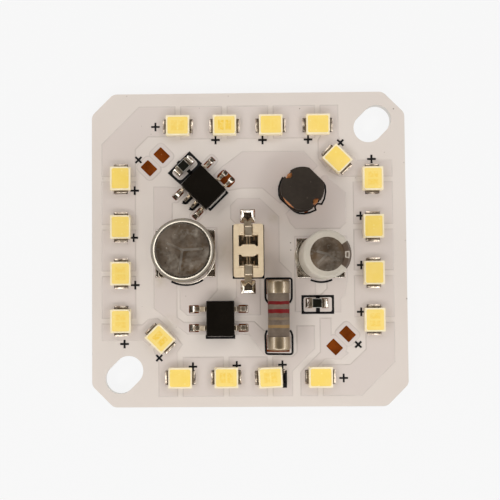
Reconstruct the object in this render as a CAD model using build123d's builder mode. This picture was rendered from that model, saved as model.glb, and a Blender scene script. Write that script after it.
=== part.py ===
from build123d import *
import os
from math import cos, radians, sin, sqrt, tan

# All sizes are in millimetres. The origin is in the middle of the board's underside,
# +Z is the side that carries the parts, and the board's edges run along X and Y.

# Board
board_side = 43.0
corner_cut = 2.95
corner_blend = 1.2
base_thickness = 1.0
dielectric_thickness = 0.08
copper_thickness = 0.035
mask_thickness = 0.03
mask_overlap = 0.06
screw_slot_width = 4.0
screw_slot_length = 5.65
screw_slot_inset = 4.4
pin_slot_width = 2.9
pin_slot_length = 5.5

# Rows of light-emitting diodes: how far each row stands in from its edge, and the stations along it
near_inset = 4.0
far_inset = 4.55
top_stations = (-9.62, -3.20, 3.13, 9.58)
right_stations = (9.44, 2.93, -3.41, -9.79)
bottom_stations = (9.55, 2.75, -3.21, -9.46)
left_stations = (-9.76, -3.29, 3.08, 9.73)
corner_led_inset = 9.35
skewed_led_turn = 2.5
strip_outside = 2.6
strip_inside = 1.6
island_gap = 1.06

# One diode
led_length = 3.2
led_width = 2.75
led_height = 0.8
led_round = 0.12
led_rim = 0.2
led_cup_draft = 0.2
led_frame_thickness = 0.2
led_frame_width = 1.9
led_frame_proud = 0.15
led_frame_split = 0.2
led_resin_gap = 0.03
led_die_length = 0.75
led_die_width = 1.35
led_die_height = 0.12
led_die_offset = 0.5
led_pad_inner = 0.6
led_pad_outer = 2.06

# Connector that takes two pins from below
connector_x = -0.13
connector_y = -0.38
connector_width = 4.0
connector_length = 7.1
connector_height = 2.6
connector_round = 0.35
window_width = 2.6
window_length = 1.28
window_offset = 1.42
window_flare = 0.25
window_step = 0.32
window_step_depth = 0.12
end_slot_width = 1.2
end_slot_depth = 0.5
contact_width = 0.96
contact_thickness = 0.18
contact_sink = 0.2
contact_riser = 3.3
contact_drop = 1.86
contact_low = 0.7
comb_height = 0.9
comb_spread = 0.86
prong_length = 1.0
prong_spacing = 0.37
wing_length = 0.45
tail_width = 1.0
tail_length = 1.15
tail_pad_width = 2.05
tail_reach = 5.45
ejector_mark_radius = 0.37
ejector_mark_depth = 0.03
ejector_mark_x = 1.45
ejector_mark_y = 2.95

# Large electrolytic capacitor
large_cap_x = -8.55
large_cap_y = -0.8
large_cap_radius = 4.0
large_cap_height = 9.8
large_cap_shoulder = 0.5
large_cap_pitch = 3.5
large_pads_x = -8.71
large_pads_y = -0.57
large_pads_length = 8.2
large_pads_width = 6.56
large_vent_arms = ((-99.0, 2.7), (156.0, 2.0), (3.0, 2.4))

# Small electrolytic capacitor, in a sleeve
small_cap_x = 9.84
small_cap_y = -1.19
small_cap_radius = 3.07
small_cap_height = 5.68
small_cap_shoulder = 0.35
small_cap_pitch = 2.5
small_pads_x = 9.82
small_pads_y = -1.35
small_pads_length = 6.65
small_pads_width = 5.45
small_vent_arms = ((165.0, 1.3), (-30.0, 1.7), (-135.0, 1.7))
sleeve_thickness = 0.08
sleeve_window = 2.22

# What both capacitors share
cap_standoff = 0.6
cap_wall = 0.3
cap_bead_height = 1.3
cap_bead_length = 0.9
cap_foot_reach = 1.7
cap_bead_depth = 0.3
cap_curl = 0.45
cap_lead_diameter = 0.6
cap_foot_thickness = 0.3
cap_seal_thickness = 2.2
cap_pad_gap = 2.0
vent_width = 0.3
vent_depth = 0.12
cap_solder_rise = 0.07

# Driver chip
driver_x = -6.12
driver_y = 8.37
driver_length = 4.9
driver_width = 3.9
driver_height = 1.4
driver_lead_width = 0.42
driver_lead_thickness = 0.2
driver_lead_pitch = 1.27
driver_span = 6.1
driver_pad_reach = 3.9
drain_pad_width = 2.4
drain_pad_round = 0.45

# Bridge rectifier
bridge_x = -3.95
bridge_y = -9.5
bridge_width = 3.8
bridge_length = 4.8
bridge_height = 1.3
bridge_lead_width = 0.7
bridge_lead_thickness = 0.22
bridge_lead_pitch = 2.57
bridge_span = 6.9
bridge_pad_reach = 4.05
bridge_pad_shift = -0.24

# What both moulded packages share
package_standoff = 0.1
package_draft = 8.0
lead_foot = 0.75
lead_bend = 0.14

# Fusible resistor, a capped rod lying on its side
fuse_x = 3.88
fuse_y = -9.03
fuse_length = 9.4
fuse_rod_radius = 1.45
fuse_cap_radius = 1.56
fuse_cap_length = 1.8
fuse_cap_wall = 0.25
fuse_cap_round = 0.3

# Drum inductor
inductor_x = 7.13
inductor_y = 7.82
inductor_radius = 2.9
inductor_flat = 2.6
inductor_height = 3.0
flange_thickness = 0.7
hub_radius = 1.3
flange_notch = 0.55
flange_notch_depth = 0.8
winding_radius = 2.62
winding_turns = 7
end_wire_radius = 0.3
electrode_thickness = 0.1
electrode_width = 1.7

# Chip resistors
chip_length = 2.0
chip_width = 1.25
chip_height = 0.5
chip_cap_length = 0.36
chip_cap_wall = 0.04
chip_glaze_thickness = 0.03
bleed_x = 9.2
bleed_y = -7.5
sense_x = -8.88
sense_y = 11.45
chip_pad_inner = 0.6
chip_pad_outer = 1.55
chip_solder_rise = 0.34

# Bare copper pads of the two diode places that are left empty
bare_pad_length = 1.87
bare_pad_width = 1.46
bare_pad_offset = 1.25
bare_pads_inset = 9.08
bare_pads_shift = 0.33

pad_round = 0.12
fit_clearance = 0.02

# Levels
dielectric_top = base_thickness + dielectric_thickness
copper_top = dielectric_top + copper_thickness
seat_level = copper_top + mask_thickness
half_side = board_side / 2
top_row = half_side - far_inset
right_row = half_side - far_inset
bottom_row = near_inset - half_side
left_row = near_inset - half_side
corner_led_reach = half_side - corner_led_inset
bare_pads_reach = half_side - bare_pads_inset


def seat(x, y, turn=0.0, level=0.0):
    """Place on the board, turned about Z."""
    return Location((x, y, level), (0, 0, turn))


def spot(place, x, y):
    """Place at x, y in the frame of another place."""
    return place * Location((x, y, 0))


# The diodes in the order in which the current passes them. A diode's anode is on its own -X side.
led_seats = (
    [seat(bottom_stations[1], bottom_row, 180 + skewed_led_turn)]
    + [seat(x, bottom_row, 180) for x in bottom_stations[2:]]
    + [seat(-corner_led_reach, -corner_led_reach, 135)]
    + [seat(left_row, y, 90) for y in left_stations]
    + [seat(x, top_row, 0) for x in top_stations]
    + [seat(corner_led_reach, corner_led_reach, -45)]
    + [seat(right_row, y, -90) for y in right_stations]
    + [seat(bottom_stations[0], bottom_row, 180)]
)
connector_seat = seat(connector_x, connector_y)
large_cap_seat = seat(large_cap_x, large_cap_y)
small_cap_seat = seat(small_cap_x, small_cap_y)
driver_seat = seat(driver_x, driver_y, -45)
bridge_seat = seat(bridge_x, bridge_y)
fuse_seat = seat(fuse_x, fuse_y, 90)
inductor_seat = seat(inductor_x, inductor_y, 45)
bleed_seat = seat(bleed_x, bleed_y)
sense_seat = seat(sense_x, sense_y, 45)
bare_seats = [
    seat(-bare_pads_reach - bare_pads_shift, bare_pads_reach - bare_pads_shift, 45),
    seat(bare_pads_reach, -bare_pads_reach - bare_pads_shift / 2, 45),
]

# Pads, each as its place, its length along that place's X and its width
led_pad_length = led_pad_outer - led_pad_inner
led_pad_middle = (led_pad_outer + led_pad_inner) / 2
led_pads = [
    (spot(place, side * led_pad_middle, 0), led_pad_length, led_frame_width + 2 * fit_clearance)
    for place in led_seats
    for side in (-1, 1)
]

large_half = (large_pads_length - cap_pad_gap) / 2
small_half = (small_pads_length - cap_pad_gap) / 2
large_cap_pads = [
    (seat(large_pads_x + side * (cap_pad_gap + large_half) / 2, large_pads_y), large_half, large_pads_width)
    for side in (-1, 1)
]
small_cap_pads = [
    (seat(small_pads_x + side * (cap_pad_gap + small_half) / 2, small_pads_y), small_half, small_pads_width)
    for side in (-1, 1)
]

# The driver chip's leads: along its length, and the side they leave. One place on the far side is empty.
driver_pins = [(step, -1) for step in (-1.5, -0.5, 0.5, 1.5)] + [(step, 1) for step in (-1.5, 0.5, 1.5)]
driver_soldered_pins = [(-1.5, -1), (1.5, -1), (-1.5, 1)]
driver_foot_start = driver_span / 2 - lead_foot
driver_pad_length = driver_pad_reach - driver_foot_start
driver_pad_middle = (driver_pad_reach + driver_foot_start) / 2
driver_pads = [
    (
        spot(driver_seat, step * driver_lead_pitch, side * driver_pad_middle),
        2 * driver_lead_width,
        driver_pad_length,
    )
    for step, side in driver_soldered_pins
]
drain_pad = (
    spot(driver_seat, driver_lead_pitch, driver_pad_middle),
    drain_pad_width,
    driver_pad_length,
    drain_pad_round,
)

bridge_pins = [(side_x, side_y) for side_x in (-1, 1) for side_y in (-1, 1)]
bridge_foot_start = bridge_span / 2 - lead_foot
bridge_pad_length = bridge_pad_reach - bridge_foot_start
bridge_pad_middle = (bridge_pad_reach + bridge_foot_start) / 2
bridge_pads = [
    (
        spot(bridge_seat, side_x * bridge_pad_middle + bridge_pad_shift, side_y * bridge_lead_pitch / 2),
        bridge_pad_length,
        bridge_lead_width + 0.4,
    )
    for side_x, side_y in bridge_pins
]

fuse_pad_length = fuse_cap_length + 0.5
fuse_pad_width = 2 * fuse_cap_radius
fuse_pad_middle = fuse_length / 2 - fuse_cap_length / 2 + 0.12
fuse_pads = [
    (spot(fuse_seat, side * fuse_pad_middle, 0), fuse_pad_length, fuse_pad_width)
    for side in (-1, 1)
]

electrode_middle = inductor_radius - 0.2 - electrode_width / 2
inductor_pads = [
    (spot(inductor_seat, 0, side * electrode_middle), 2 * electrode_width, electrode_width)
    for side in (-1, 1)
]

chip_pad_length = chip_pad_outer - chip_pad_inner
chip_pad_middle = (chip_pad_outer + chip_pad_inner) / 2
chip_pads = [
    (spot(place, side * chip_pad_middle, 0), chip_pad_length, chip_width + 0.1)
    for place in (bleed_seat, sense_seat)
    for side in (-1, 1)
]

tail_margin = 0.35
tail_pad_length = tail_length + 2 * tail_margin
tail_pad_middle = tail_reach - tail_length / 2
tail_pads = [
    (spot(connector_seat, 0, side * tail_pad_middle), tail_pad_width, tail_pad_length)
    for side in (-1, 1)
]

bare_pads = [
    (spot(place, side * bare_pad_offset, 0), bare_pad_width, bare_pad_length)
    for place in bare_seats
    for side in (-1, 1)
]
soldered_pads = (
    led_pads + large_cap_pads + small_cap_pads + driver_pads + [drain_pad] + bridge_pads
    + fuse_pads + inductor_pads + chip_pads + tail_pads
)


def outline(points):
    """Closed straight-sided face, joined to the sketch that is open."""
    with BuildLine() as loop:
        Polyline(*points, close=True)
    make_face(loop.edges())


def lay_pads(pads, margin=0.0):
    """Rounded rectangles at the pads' places, joined to the sketch that is open."""
    for place, length, width, *blend in pads:
        corner = blend[0] if blend else pad_round
        with Locations(place):
            RectangleRounded(length + 2 * margin, width + 2 * margin, corner + margin)


def finish(piece, name):
    """Labels a piece and writes it."""
    piece.label = name
    export_step(piece, f"parts/{name}.step")


def place_copy(piece, place, name):
    """Writes a copy of a piece that was made at the origin, set down at its place."""
    with BuildPart() as copy:
        with Locations(place * Location((0, 0, seat_level))):
            add(piece)
    finish(copy.part, name)
    return copy.part


os.makedirs("parts", exist_ok=True)

# Board outline: a square with cut corners, a screw slot in two of them and the pin slot in the middle
with BuildSketch() as board_outline:
    Rectangle(board_side, board_side)
    chamfer(board_outline.vertices(), corner_cut)
    fillet(board_outline.vertices(), corner_blend)
    with PolarLocations((half_side - screw_slot_inset) * sqrt(2), 2, start_angle=45):
        SlotOverall(screw_slot_length, screw_slot_width, mode=Mode.SUBTRACT)
    with Locations((connector_x, connector_y)):
        SlotOverall(pin_slot_length, pin_slot_width, rotation=90, mode=Mode.SUBTRACT)

with BuildPart() as aluminium_base:
    add(board_outline.sketch)
    extrude(amount=base_thickness)
finish(aluminium_base.part, "aluminium_base")

with BuildPart() as dielectric_layer:
    with BuildSketch(Plane.XY.offset(base_thickness)):
        add(board_outline.sketch)
    extrude(amount=dielectric_thickness)
finish(dielectric_layer.part, "dielectric_layer")

# Copper. Strips run under the rows of diodes, cut under the middle of each diode, and close in the corners.
half_gap = island_gap / 2
strip_left = left_row - strip_outside + 0.13
strip_top = top_row + strip_outside
strip_right = right_row + strip_outside
strip_bottom = bottom_row - strip_outside + 0.2
inner_left = left_row + strip_inside + 0.25
inner_top = top_row - strip_inside
inner_right = right_row - strip_inside - 0.85
inner_bottom = bottom_row + strip_outside
corner_slant = 5.05
inner_slant = 1.83


def row_islands(stations, low, high, along_x):
    """Copper between neighbouring diodes of one row."""
    for here, there in zip(stations, stations[1:]):
        start, end = sorted((here, there))
        start, end = start + half_gap, end - half_gap
        if along_x:
            outline([(start, low), (end, low), (end, high), (start, high)])
        else:
            outline([(low, start), (high, start), (high, end), (low, end)])


def corner_gap_edge(place, side, reach):
    """The two ends of the copper's edge that runs along the gap under a diode that stands alone."""
    return [
        tuple(spot(place, side * half_gap, end * reach).position)[:2]
        for end in ((-1, 1) if side > 0 else (1, -1))
    ]


lower_led = led_seats[3]
upper_led = led_seats[12]
corner_edge = 1.65
with BuildSketch(Plane.XY.offset(dielectric_top)) as copper_artwork:
    row_islands(top_stations, inner_top, strip_top, True)
    row_islands(left_stations, strip_left, inner_left, False)
    row_islands(right_stations, inner_right, strip_right, False)
    row_islands(bottom_stations[1:], strip_bottom, inner_bottom, True)
    # upper left corner, from the left column to the top row
    outline([
        (strip_left, left_stations[3] + half_gap),
        (inner_left, left_stations[3] + half_gap),
        (inner_left, inner_top + 0.35 - inner_slant),
        (inner_left + inner_slant, inner_top + 0.35),
        (top_stations[0] - half_gap, inner_top + 0.35),
        (top_stations[0] - half_gap, strip_top),
        (strip_left + corner_slant, strip_top),
        (strip_left, strip_top - corner_slant),
    ])
    # lower right corner, from the right column back to the bottom row
    outline([
        (strip_right, right_stations[3] - half_gap),
        (strip_right, strip_bottom + corner_slant - 0.6),
        (strip_right - corner_slant + 0.6, strip_bottom),
        (bottom_stations[0] + half_gap, strip_bottom),
        (bottom_stations[0] + half_gap, inner_bottom - 1.1),
        (strip_right - corner_slant - 0.8, inner_bottom - 1.1),
        (strip_right - 3.6, inner_bottom + 1.05),
        (strip_right - 3.6, right_stations[3] - half_gap),
    ])
    # top row to the lone diode at the upper right
    outline([
        (top_stations[3] + half_gap, strip_top),
        (top_stations[3] + half_gap, inner_top),
        (top_stations[3] + 0.2, inner_top - 0.5),
        (top_stations[3] + 0.2, upper_led.position.Y + 0.3),
        *corner_gap_edge(upper_led, -1, corner_edge)[::-1],
        (right_row - 4.7, inner_top),
        (right_row - 4.7, strip_top),
    ])
    # lone diode at the upper right to the right column
    outline([
        *corner_gap_edge(upper_led, 1, corner_edge),
        (inner_right + 0.4, right_stations[0] + 2.45),
        (strip_right, right_stations[0] + 2.45),
        (strip_right, right_stations[0] + half_gap),
        (inner_right - 1.9, right_stations[0] + half_gap),
    ])
    # left column to the lone diode at the lower left
    outline([
        (strip_left, left_stations[0] - half_gap),
        (strip_left, left_stations[0] - 2.5),
        (inner_left + 1.25, left_stations[0] - 2.5),
        *corner_gap_edge(lower_led, 1, corner_edge)[::-1],
        (lower_led.position.X - 0.4, left_stations[0] + 0.15),
        (inner_left + 1.9, left_stations[0] + 0.05),
        (inner_left + 1.1, left_stations[0] - 0.69),
        (inner_left, left_stations[0] - 0.69),
    ])
    # lone diode at the lower left to the bottom row
    outline([
        *corner_gap_edge(lower_led, -1, corner_edge)[::-1],
        (bottom_stations[3] - 2.79, inner_bottom - 0.5),
        (bottom_stations[3] - 2.79, strip_bottom),
        (bottom_stations[3] - half_gap, strip_bottom),
        (bottom_stations[3] - half_gap, inner_bottom - 0.5),
        (bottom_stations[3] - 0.6, lower_led.position.Y - 1.9),
        (bottom_stations[3] + 0.1, lower_led.position.Y - 0.9),
    ])
    # first diode's anode, with the field beside the fusible resistor
    outline([
        (bottom_stations[1] + half_gap, strip_bottom),
        (bottom_stations[1] + half_gap, inner_bottom),
        (fuse_x + 2.0, inner_bottom),
        (fuse_x + 2.7, inner_bottom + 0.7),
        (fuse_x + 2.7, fuse_y - 1.7),
        (fuse_x + 4.8, fuse_y - 1.7),
        (fuse_x + 4.8, inner_bottom + 1.3),
        (fuse_x + 1.75, inner_bottom - 1.75),
        (fuse_x + 1.75, strip_bottom),
    ])
    # last diode's cathode, with the first of the lower bare pads
    outline([
        (bottom_stations[0] - 2.5, strip_bottom),
        (bottom_stations[0] - 2.5, inner_bottom - 2.0),
        (bottom_stations[0] + 0.2, inner_bottom + 0.7),
        (bottom_stations[0] + 0.2, bleed_y - 2.2),
        (bottom_stations[0] + 1.4, bleed_y - 2.2),
        (bottom_stations[0] + 1.4, inner_bottom + 2.1),
        (bottom_stations[0] + 3.6, inner_bottom + 0.6),
        (bottom_stations[0] + 2.8, inner_bottom - 0.05),
        (bottom_stations[0] + 0.6, inner_bottom - 0.05),
        (bottom_stations[0] - half_gap, inner_bottom - 1.15),
        (bottom_stations[0] - half_gap, strip_bottom),
    ])
    # driver chip's drain to the inductor's near end
    outline([
        (-3.65, 11.05), (-0.7, 13.25), (7.6, 13.2), (9.3, 11.35),
        (4.35, 6.4), (2.0, 8.47), (-0.7, 8.49), (-2.9, 8.15), (-4.95, 9.75),
    ])
    # inductor's far end
    outline([
        (5.3, 4.75), (10.35, 9.8), (10.7, 9.8), (13.15, 7.54),
        (13.15, 3.56), (12.45, 2.84), (6.48, 2.84), (5.8, 3.62),
    ])
    # connector's upper tail, round its right side, to the fusible resistor
    outline([
        (-1.45, 6.77), (1.45, 6.77), (4.0, 4.3), (4.0, -1.85), (5.6, -3.45), (5.6, -6.9),
        (2.2, -6.9), (2.2, 3.5), (-1.6, 3.5), (-2.3, 4.2), (-2.3, 5.9),
    ])
    # connector's lower tail to the bridge
    outline([(-1.6, -4.1), (1.35, -4.1), (1.35, -8.9), (-2.2, -8.9), (-2.2, -7.3), (-1.6, -6.7)])
    # fusible resistor's far end to the bridge
    outline([
        (-2.2, -10.1), (0.6, -10.1), (1.9, -11.35), (5.6, -11.35),
        (5.6, -14.35), (2.1, -14.35), (0.0, -11.5), (-2.2, -11.5),
    ])
    # large capacitor's left pad, from the driver chip down to the bridge
    outline([
        (-12.86, 8.45), (-11.3, 8.45), (-9.7, 8.3), (-9.3, 7.2), (-10.6, 6.4), (-10.6, 3.5),
        (-9.6, 2.8), (-9.6, -4.1), (-10.02, -4.5), (-10.02, -9.39), (-9.0, -10.15), (-5.9, -10.15),
        (-5.9, -11.45), (-8.4, -11.45), (-12.86, -8.0),
    ])
    # large capacitor's right pad to the bridge
    outline([
        (-7.75, 2.8), (-4.5, 2.8), (-4.5, -5.6), (-5.9, -7.2), (-5.9, -8.9),
        (-8.4, -8.9), (-9.3, -8.1), (-9.3, -4.9), (-7.75, -4.1),
    ])
    # small capacitor's left and right pads, down to the bleed resistor's ends
    outline([(6.4, 1.5), (8.9, 1.5), (8.9, -8.5), (6.4, -8.5)])
    outline([
        (10.75, 1.5), (13.25, 1.5), (13.25, -4.3), (12.9, -6.3), (12.3, -6.9), (12.3, -8.6),
        (9.7, -8.6), (9.7, -6.6), (10.75, -5.6),
    ])
    lay_pads(bare_pads, 0.4)
    lay_pads(driver_pads + chip_pads[2:], 0.18)

with BuildPart() as copper_circuit:
    add(copper_artwork.sketch)
    extrude(amount=copper_thickness)
finish(copper_circuit.part, "copper_circuit")

with BuildSketch(Plane.XY.offset(copper_top)) as mask_windows:
    lay_pads(soldered_pads + bare_pads)

with BuildSketch(Plane.XY.offset(dielectric_top)) as raised_mask:
    add(copper_artwork.sketch)
    offset(amount=mask_overlap, kind=Kind.INTERSECTION)

with BuildPart() as solder_mask:
    with BuildSketch(Plane.XY.offset(dielectric_top)):
        add(board_outline.sketch)
    extrude(amount=mask_thickness)
    add(raised_mask.sketch)
    extrude(amount=copper_thickness + mask_thickness)
    add(copper_circuit.part, mode=Mode.SUBTRACT)
    add(mask_windows.sketch)
    extrude(amount=mask_thickness, mode=Mode.SUBTRACT)
finish(solder_mask.part, "solder_mask")
print("board", board_side, "mm, copper islands", len(copper_circuit.part.solids()))


def raised(place):
    """The place brought up to the level on which the components stand."""
    return place * Location((0, 0, seat_level))


def solder_wedge(start, run, rise, width):
    """Hollow-faced fillet of solder that stands against a face at X = start and runs out along +X."""
    with BuildPart() as wedge:
        with BuildSketch(Plane.XZ):
            with BuildLine():
                Polyline(
                    (start, rise),
                    (start, 0),
                    (start + run, 0),
                    (start + 0.55 * run, 0.2 * rise),
                    (start + 0.25 * run, 0.45 * rise),
                    close=True,
                )
            make_face()
        extrude(amount=width / 2, both=True)
    return wedge.part


def gull_wing(body_half, span, height, thickness, width):
    """Formed lead along +X: from inside the body, down beside it and out to a flat foot."""
    middle = package_standoff + height / 2
    knee = body_half + 0.25
    heel = span / 2 - lead_foot
    with BuildPart() as lead:
        with BuildSketch(Plane.XZ) as side:
            with BuildLine():
                Polyline(
                    (body_half - 0.5, middle + thickness / 2),
                    (knee, middle + thickness / 2),
                    (heel + thickness / 2, thickness),
                    (span / 2, thickness),
                    (span / 2, 0),
                    (heel - thickness / 2, 0),
                    (knee - thickness, middle - thickness / 2),
                    (body_half - 0.5, middle - thickness / 2),
                    close=True,
                )
            make_face()
            bends = side.vertices().filter_by_position(Axis.X, body_half - 0.1, span / 2 - 0.1)
            fillet(bends, lead_bend)
        extrude(amount=width / 2, both=True)
    return lead.part


# Light-emitting diode. The anode plate is at -X, the longer cathode plate carries both dies.
cathode_start = -led_length / 2 + 0.65
anode_end = cathode_start - led_frame_split
frame_end = led_length / 2 + led_frame_proud
with BuildPart() as led_plates:
    for start, end in ((-frame_end, anode_end), (cathode_start, frame_end)):
        with Locations(((start + end) / 2, 0, led_frame_thickness / 2)):
            Box(end - start, led_frame_width, led_frame_thickness)

with BuildPart() as led_cup:
    with BuildSketch(Plane.XY.offset(led_frame_thickness)):
        floor_margin = 2 * (led_rim + led_cup_draft)
        RectangleRounded(led_length - floor_margin, led_width - floor_margin, led_round)
    with BuildSketch(Plane.XY.offset(led_height)):
        RectangleRounded(led_length - 2 * led_rim, led_width - 2 * led_rim, 2 * led_round)
    loft()

with BuildPart() as led_dies_pair:
    die_level = led_frame_thickness + led_die_height / 2
    with Locations(*[(side * led_die_offset, 0, die_level) for side in (-1, 1)]):
        Box(led_die_length, led_die_width, led_die_height)

led_notch = 0.45
with BuildPart() as led_housing:
    with BuildSketch():
        RectangleRounded(led_length, led_width, led_round)
    extrude(amount=led_height)
    with BuildSketch(Plane.XY.offset(led_height)):
        with Locations((led_length / 2, -led_width / 2)):
            Rectangle(led_notch * sqrt(2), led_notch * sqrt(2), rotation=45)
    extrude(amount=-led_height / 2, mode=Mode.SUBTRACT)
    add(led_cup.part, mode=Mode.SUBTRACT)
    add(led_plates.part, mode=Mode.SUBTRACT)

with BuildPart() as led_resin:
    add(led_cup.part)
    with Locations((0, 0, led_height)):
        Box(led_length, led_width, 2 * led_resin_gap, mode=Mode.SUBTRACT)
    add(led_dies_pair.part, mode=Mode.SUBTRACT)

with BuildPart() as led_joints:
    with BuildSketch(Plane.XY.offset(-mask_thickness)):
        with Locations(*[(side * led_pad_middle, 0) for side in (-1, 1)]):
            RectangleRounded(led_pad_length, led_frame_width + 2 * fit_clearance, pad_round)
    extrude(amount=mask_thickness)
    joint = solder_wedge(
        frame_end,
        led_pad_outer - frame_end,
        led_frame_thickness,
        led_frame_width - pad_round,
    )
    with PolarLocations(0, 2):
        add(joint)

for number, place in enumerate(led_seats, start=1):
    place_copy(led_housing.part, place, f"led_{number:02d}_housing")

led_groups = {
    "led_terminals": led_plates.part,
    "led_phosphor": led_resin.part,
    "led_dies": led_dies_pair.part,
    "led_solder": led_joints.part,
}
for name, template in led_groups.items():
    with BuildPart() as group:
        with Locations(*[raised(place) for place in led_seats]):
            add(template)
    finish(group.part, name)

# Connector housing. Its own Y runs along the two windows.
half_window = window_width / 2
window_near = window_offset - window_length / 2
window_far = window_offset + window_length / 2
with BuildPart() as connector_housing:
    with BuildSketch():
        RectangleRounded(connector_width, connector_length, connector_round)
    extrude(amount=connector_height)
    chamfer(connector_housing.faces().sort_by(Axis.Z)[-1].edges(), 0.08)
    with BuildSketch(Plane.XY.offset(connector_height)):
        with PolarLocations(0, 2):
            with Locations((0, window_offset + window_step / 2)):
                Rectangle(window_width, window_length + window_step)
    extrude(amount=-window_step_depth, mode=Mode.SUBTRACT)
    with BuildSketch() as windows:
        with PolarLocations(0, 2):
            Polygon(
                (-half_window, window_far),
                (-half_window, window_near - window_flare),
                (-half_window + window_flare, window_near - window_flare),
                (-half_window + 2 * window_flare, window_near),
                (half_window - 2 * window_flare, window_near),
                (half_window - window_flare, window_near - window_flare),
                (half_window, window_near - window_flare),
                (half_window, window_far),
                align=None,
            )
            with Locations((0, contact_riser - contact_thickness / 2 + connector_length / 2)):
                Rectangle(end_slot_width, connector_length + 2 * contact_thickness)
    extrude(amount=connector_height, mode=Mode.SUBTRACT)
    with BuildSketch(Plane.XY.offset(connector_height)):
        Rectangle(end_slot_width, connector_length)
        Rectangle(end_slot_width, 2 * window_near, mode=Mode.SUBTRACT)
    extrude(amount=-end_slot_depth, mode=Mode.SUBTRACT)
    with BuildSketch(Plane.XY.offset(connector_height)):
        with GridLocations(2 * ejector_mark_x, 2 * ejector_mark_y, 2, 2):
            Circle(ejector_mark_radius)
    extrude(amount=-ejector_mark_depth, mode=Mode.SUBTRACT)

# One contact, at the +Y end: tail on the board, strip over the end of the housing, comb in the window
strip_top_level = connector_height - contact_sink
with BuildPart() as contact:
    with BuildSketch(Plane.YZ) as strip:
        with BuildLine():
            Polyline(
                (tail_reach, 0),
                (tail_reach, contact_thickness),
                (contact_riser, contact_thickness),
                (contact_riser, strip_top_level),
                (contact_drop, strip_top_level),
                (contact_drop, contact_low),
                (contact_drop + contact_thickness, contact_low),
                (contact_drop + contact_thickness, strip_top_level - contact_thickness),
                (contact_riser - contact_thickness, strip_top_level - contact_thickness),
                (contact_riser - contact_thickness, 0),
                close=True,
            )
        make_face()
        crown = strip.vertices().filter_by_position(Axis.Y, strip_top_level - 0.01, strip_top_level + 0.01)
        fillet(crown, contact_thickness)
    extrude(amount=contact_width / 2, both=True)
    with Locations((0, tail_reach - tail_length / 2, contact_thickness / 2)):
        Box(tail_width, tail_length, contact_thickness)
    comb_level = contact_low + comb_height / 2
    with Locations((0, contact_drop + contact_thickness / 2, comb_level)):
        Box(2 * comb_spread, contact_thickness, comb_height)
    wing_x = comb_spread - contact_thickness / 2
    for length, offset_x in ((prong_length, prong_spacing / 2), (wing_length, wing_x)):
        with Locations(*[(side * offset_x, contact_drop - length / 2, comb_level) for side in (-1, 1)]):
            Box(contact_thickness, length, comb_height)

# Electrolytic capacitors
def can_profile(radius, height, shoulder):
    """Half section of a drawn can that stands at Z = cap_standoff: rolled rim, bead and rounded top."""
    base = cap_standoff
    top = base + height
    bead = base + cap_bead_height
    inner = radius - cap_wall
    half_bead = cap_bead_length / 2
    blend = shoulder * (1 - sqrt(0.5))
    with BuildLine() as section:
        Polyline((0, top - cap_wall), (0, top), (radius - shoulder, top))
        ThreePointArc((radius - shoulder, top), (radius - blend, top - blend), (radius, top - shoulder))
        Line((radius, top - shoulder), (radius, bead + half_bead))
        ThreePointArc((radius, bead + half_bead), (radius - cap_bead_depth, bead), (radius, bead - half_bead))
        Polyline((radius, bead - half_bead), (radius, base + 0.15), (radius - 0.15, base))
        Polyline((radius - 0.15, base), (radius - cap_curl, base), (radius - cap_curl, base + cap_wall))
        Polyline((radius - cap_curl, base + cap_wall), (inner, base + cap_wall), (inner, bead - half_bead))
        ThreePointArc((inner, bead - half_bead), (inner - cap_bead_depth, bead), (inner, bead + half_bead))
        Polyline((inner, bead + half_bead), (inner, top - cap_wall), (0, top - cap_wall))
    return section.edges()


def make_can(radius, height, shoulder, arms):
    """Can with a scored vent in its top."""
    with BuildPart() as can:
        with BuildSketch(Plane.XZ):
            make_face(can_profile(radius, height, shoulder))
        revolve(axis=Axis.Z)
        with BuildSketch(Plane.XY.offset(cap_standoff + height)):
            for turn, length in arms:
                with Locations(Location((0, 0, 0), (0, 0, turn))):
                    with Locations((length / 2, 0)):
                        SlotOverall(length + vent_width, vent_width)
        extrude(amount=-vent_depth, mode=Mode.SUBTRACT)
    return can.part


def make_cap_leads(pitch):
    """Two round leads out of the seal, bent outwards and flattened on the pads."""
    lead_radius = cap_lead_diameter / 2
    with BuildPart() as leads:
        for side in (-1, 1):
            with Locations((side * pitch / 2, 0, 0)):
                Cylinder(
                    lead_radius,
                    cap_standoff + cap_seal_thickness,
                    align=(Align.CENTER, Align.CENTER, Align.MIN),
                )
            with Locations((side * (pitch / 2 + cap_foot_reach / 2), 0, cap_foot_thickness / 2)):
                Box(cap_foot_reach, cap_lead_diameter, cap_foot_thickness)
    return leads.part


def make_seal(radius, can, leads):
    """Rubber bung that fills the lower end of the can round the leads."""
    with BuildPart() as seal:
        with Locations((0, 0, cap_standoff + 0.1)):
            Cylinder(
                radius - cap_wall,
                cap_seal_thickness - 0.1,
                align=(Align.CENTER, Align.CENTER, Align.MIN),
            )
        add(can, mode=Mode.SUBTRACT)
        add(leads, mode=Mode.SUBTRACT)
    return seal.part


def make_element(radius, height):
    """Wound foil between the seal and the top of the can."""
    bottom = cap_standoff + cap_seal_thickness
    with BuildPart() as element:
        with Locations((0, 0, bottom)):
            Cylinder(
                radius - cap_wall - 0.1,
                cap_standoff + height - cap_wall - 0.3 - bottom,
                align=(Align.CENTER, Align.CENTER, Align.MIN),
            )
    return element.part


large_can = make_can(large_cap_radius, large_cap_height, large_cap_shoulder, large_vent_arms)
large_leads = make_cap_leads(large_cap_pitch)
place_copy(large_can, large_cap_seat, "capacitor_1_can")
large_leads_placed = place_copy(large_leads, large_cap_seat, "capacitor_1_leads")
place_copy(make_seal(large_cap_radius, large_can, large_leads), large_cap_seat, "capacitor_1_seal")
place_copy(make_element(large_cap_radius, large_cap_height), large_cap_seat, "capacitor_1_element")

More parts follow.
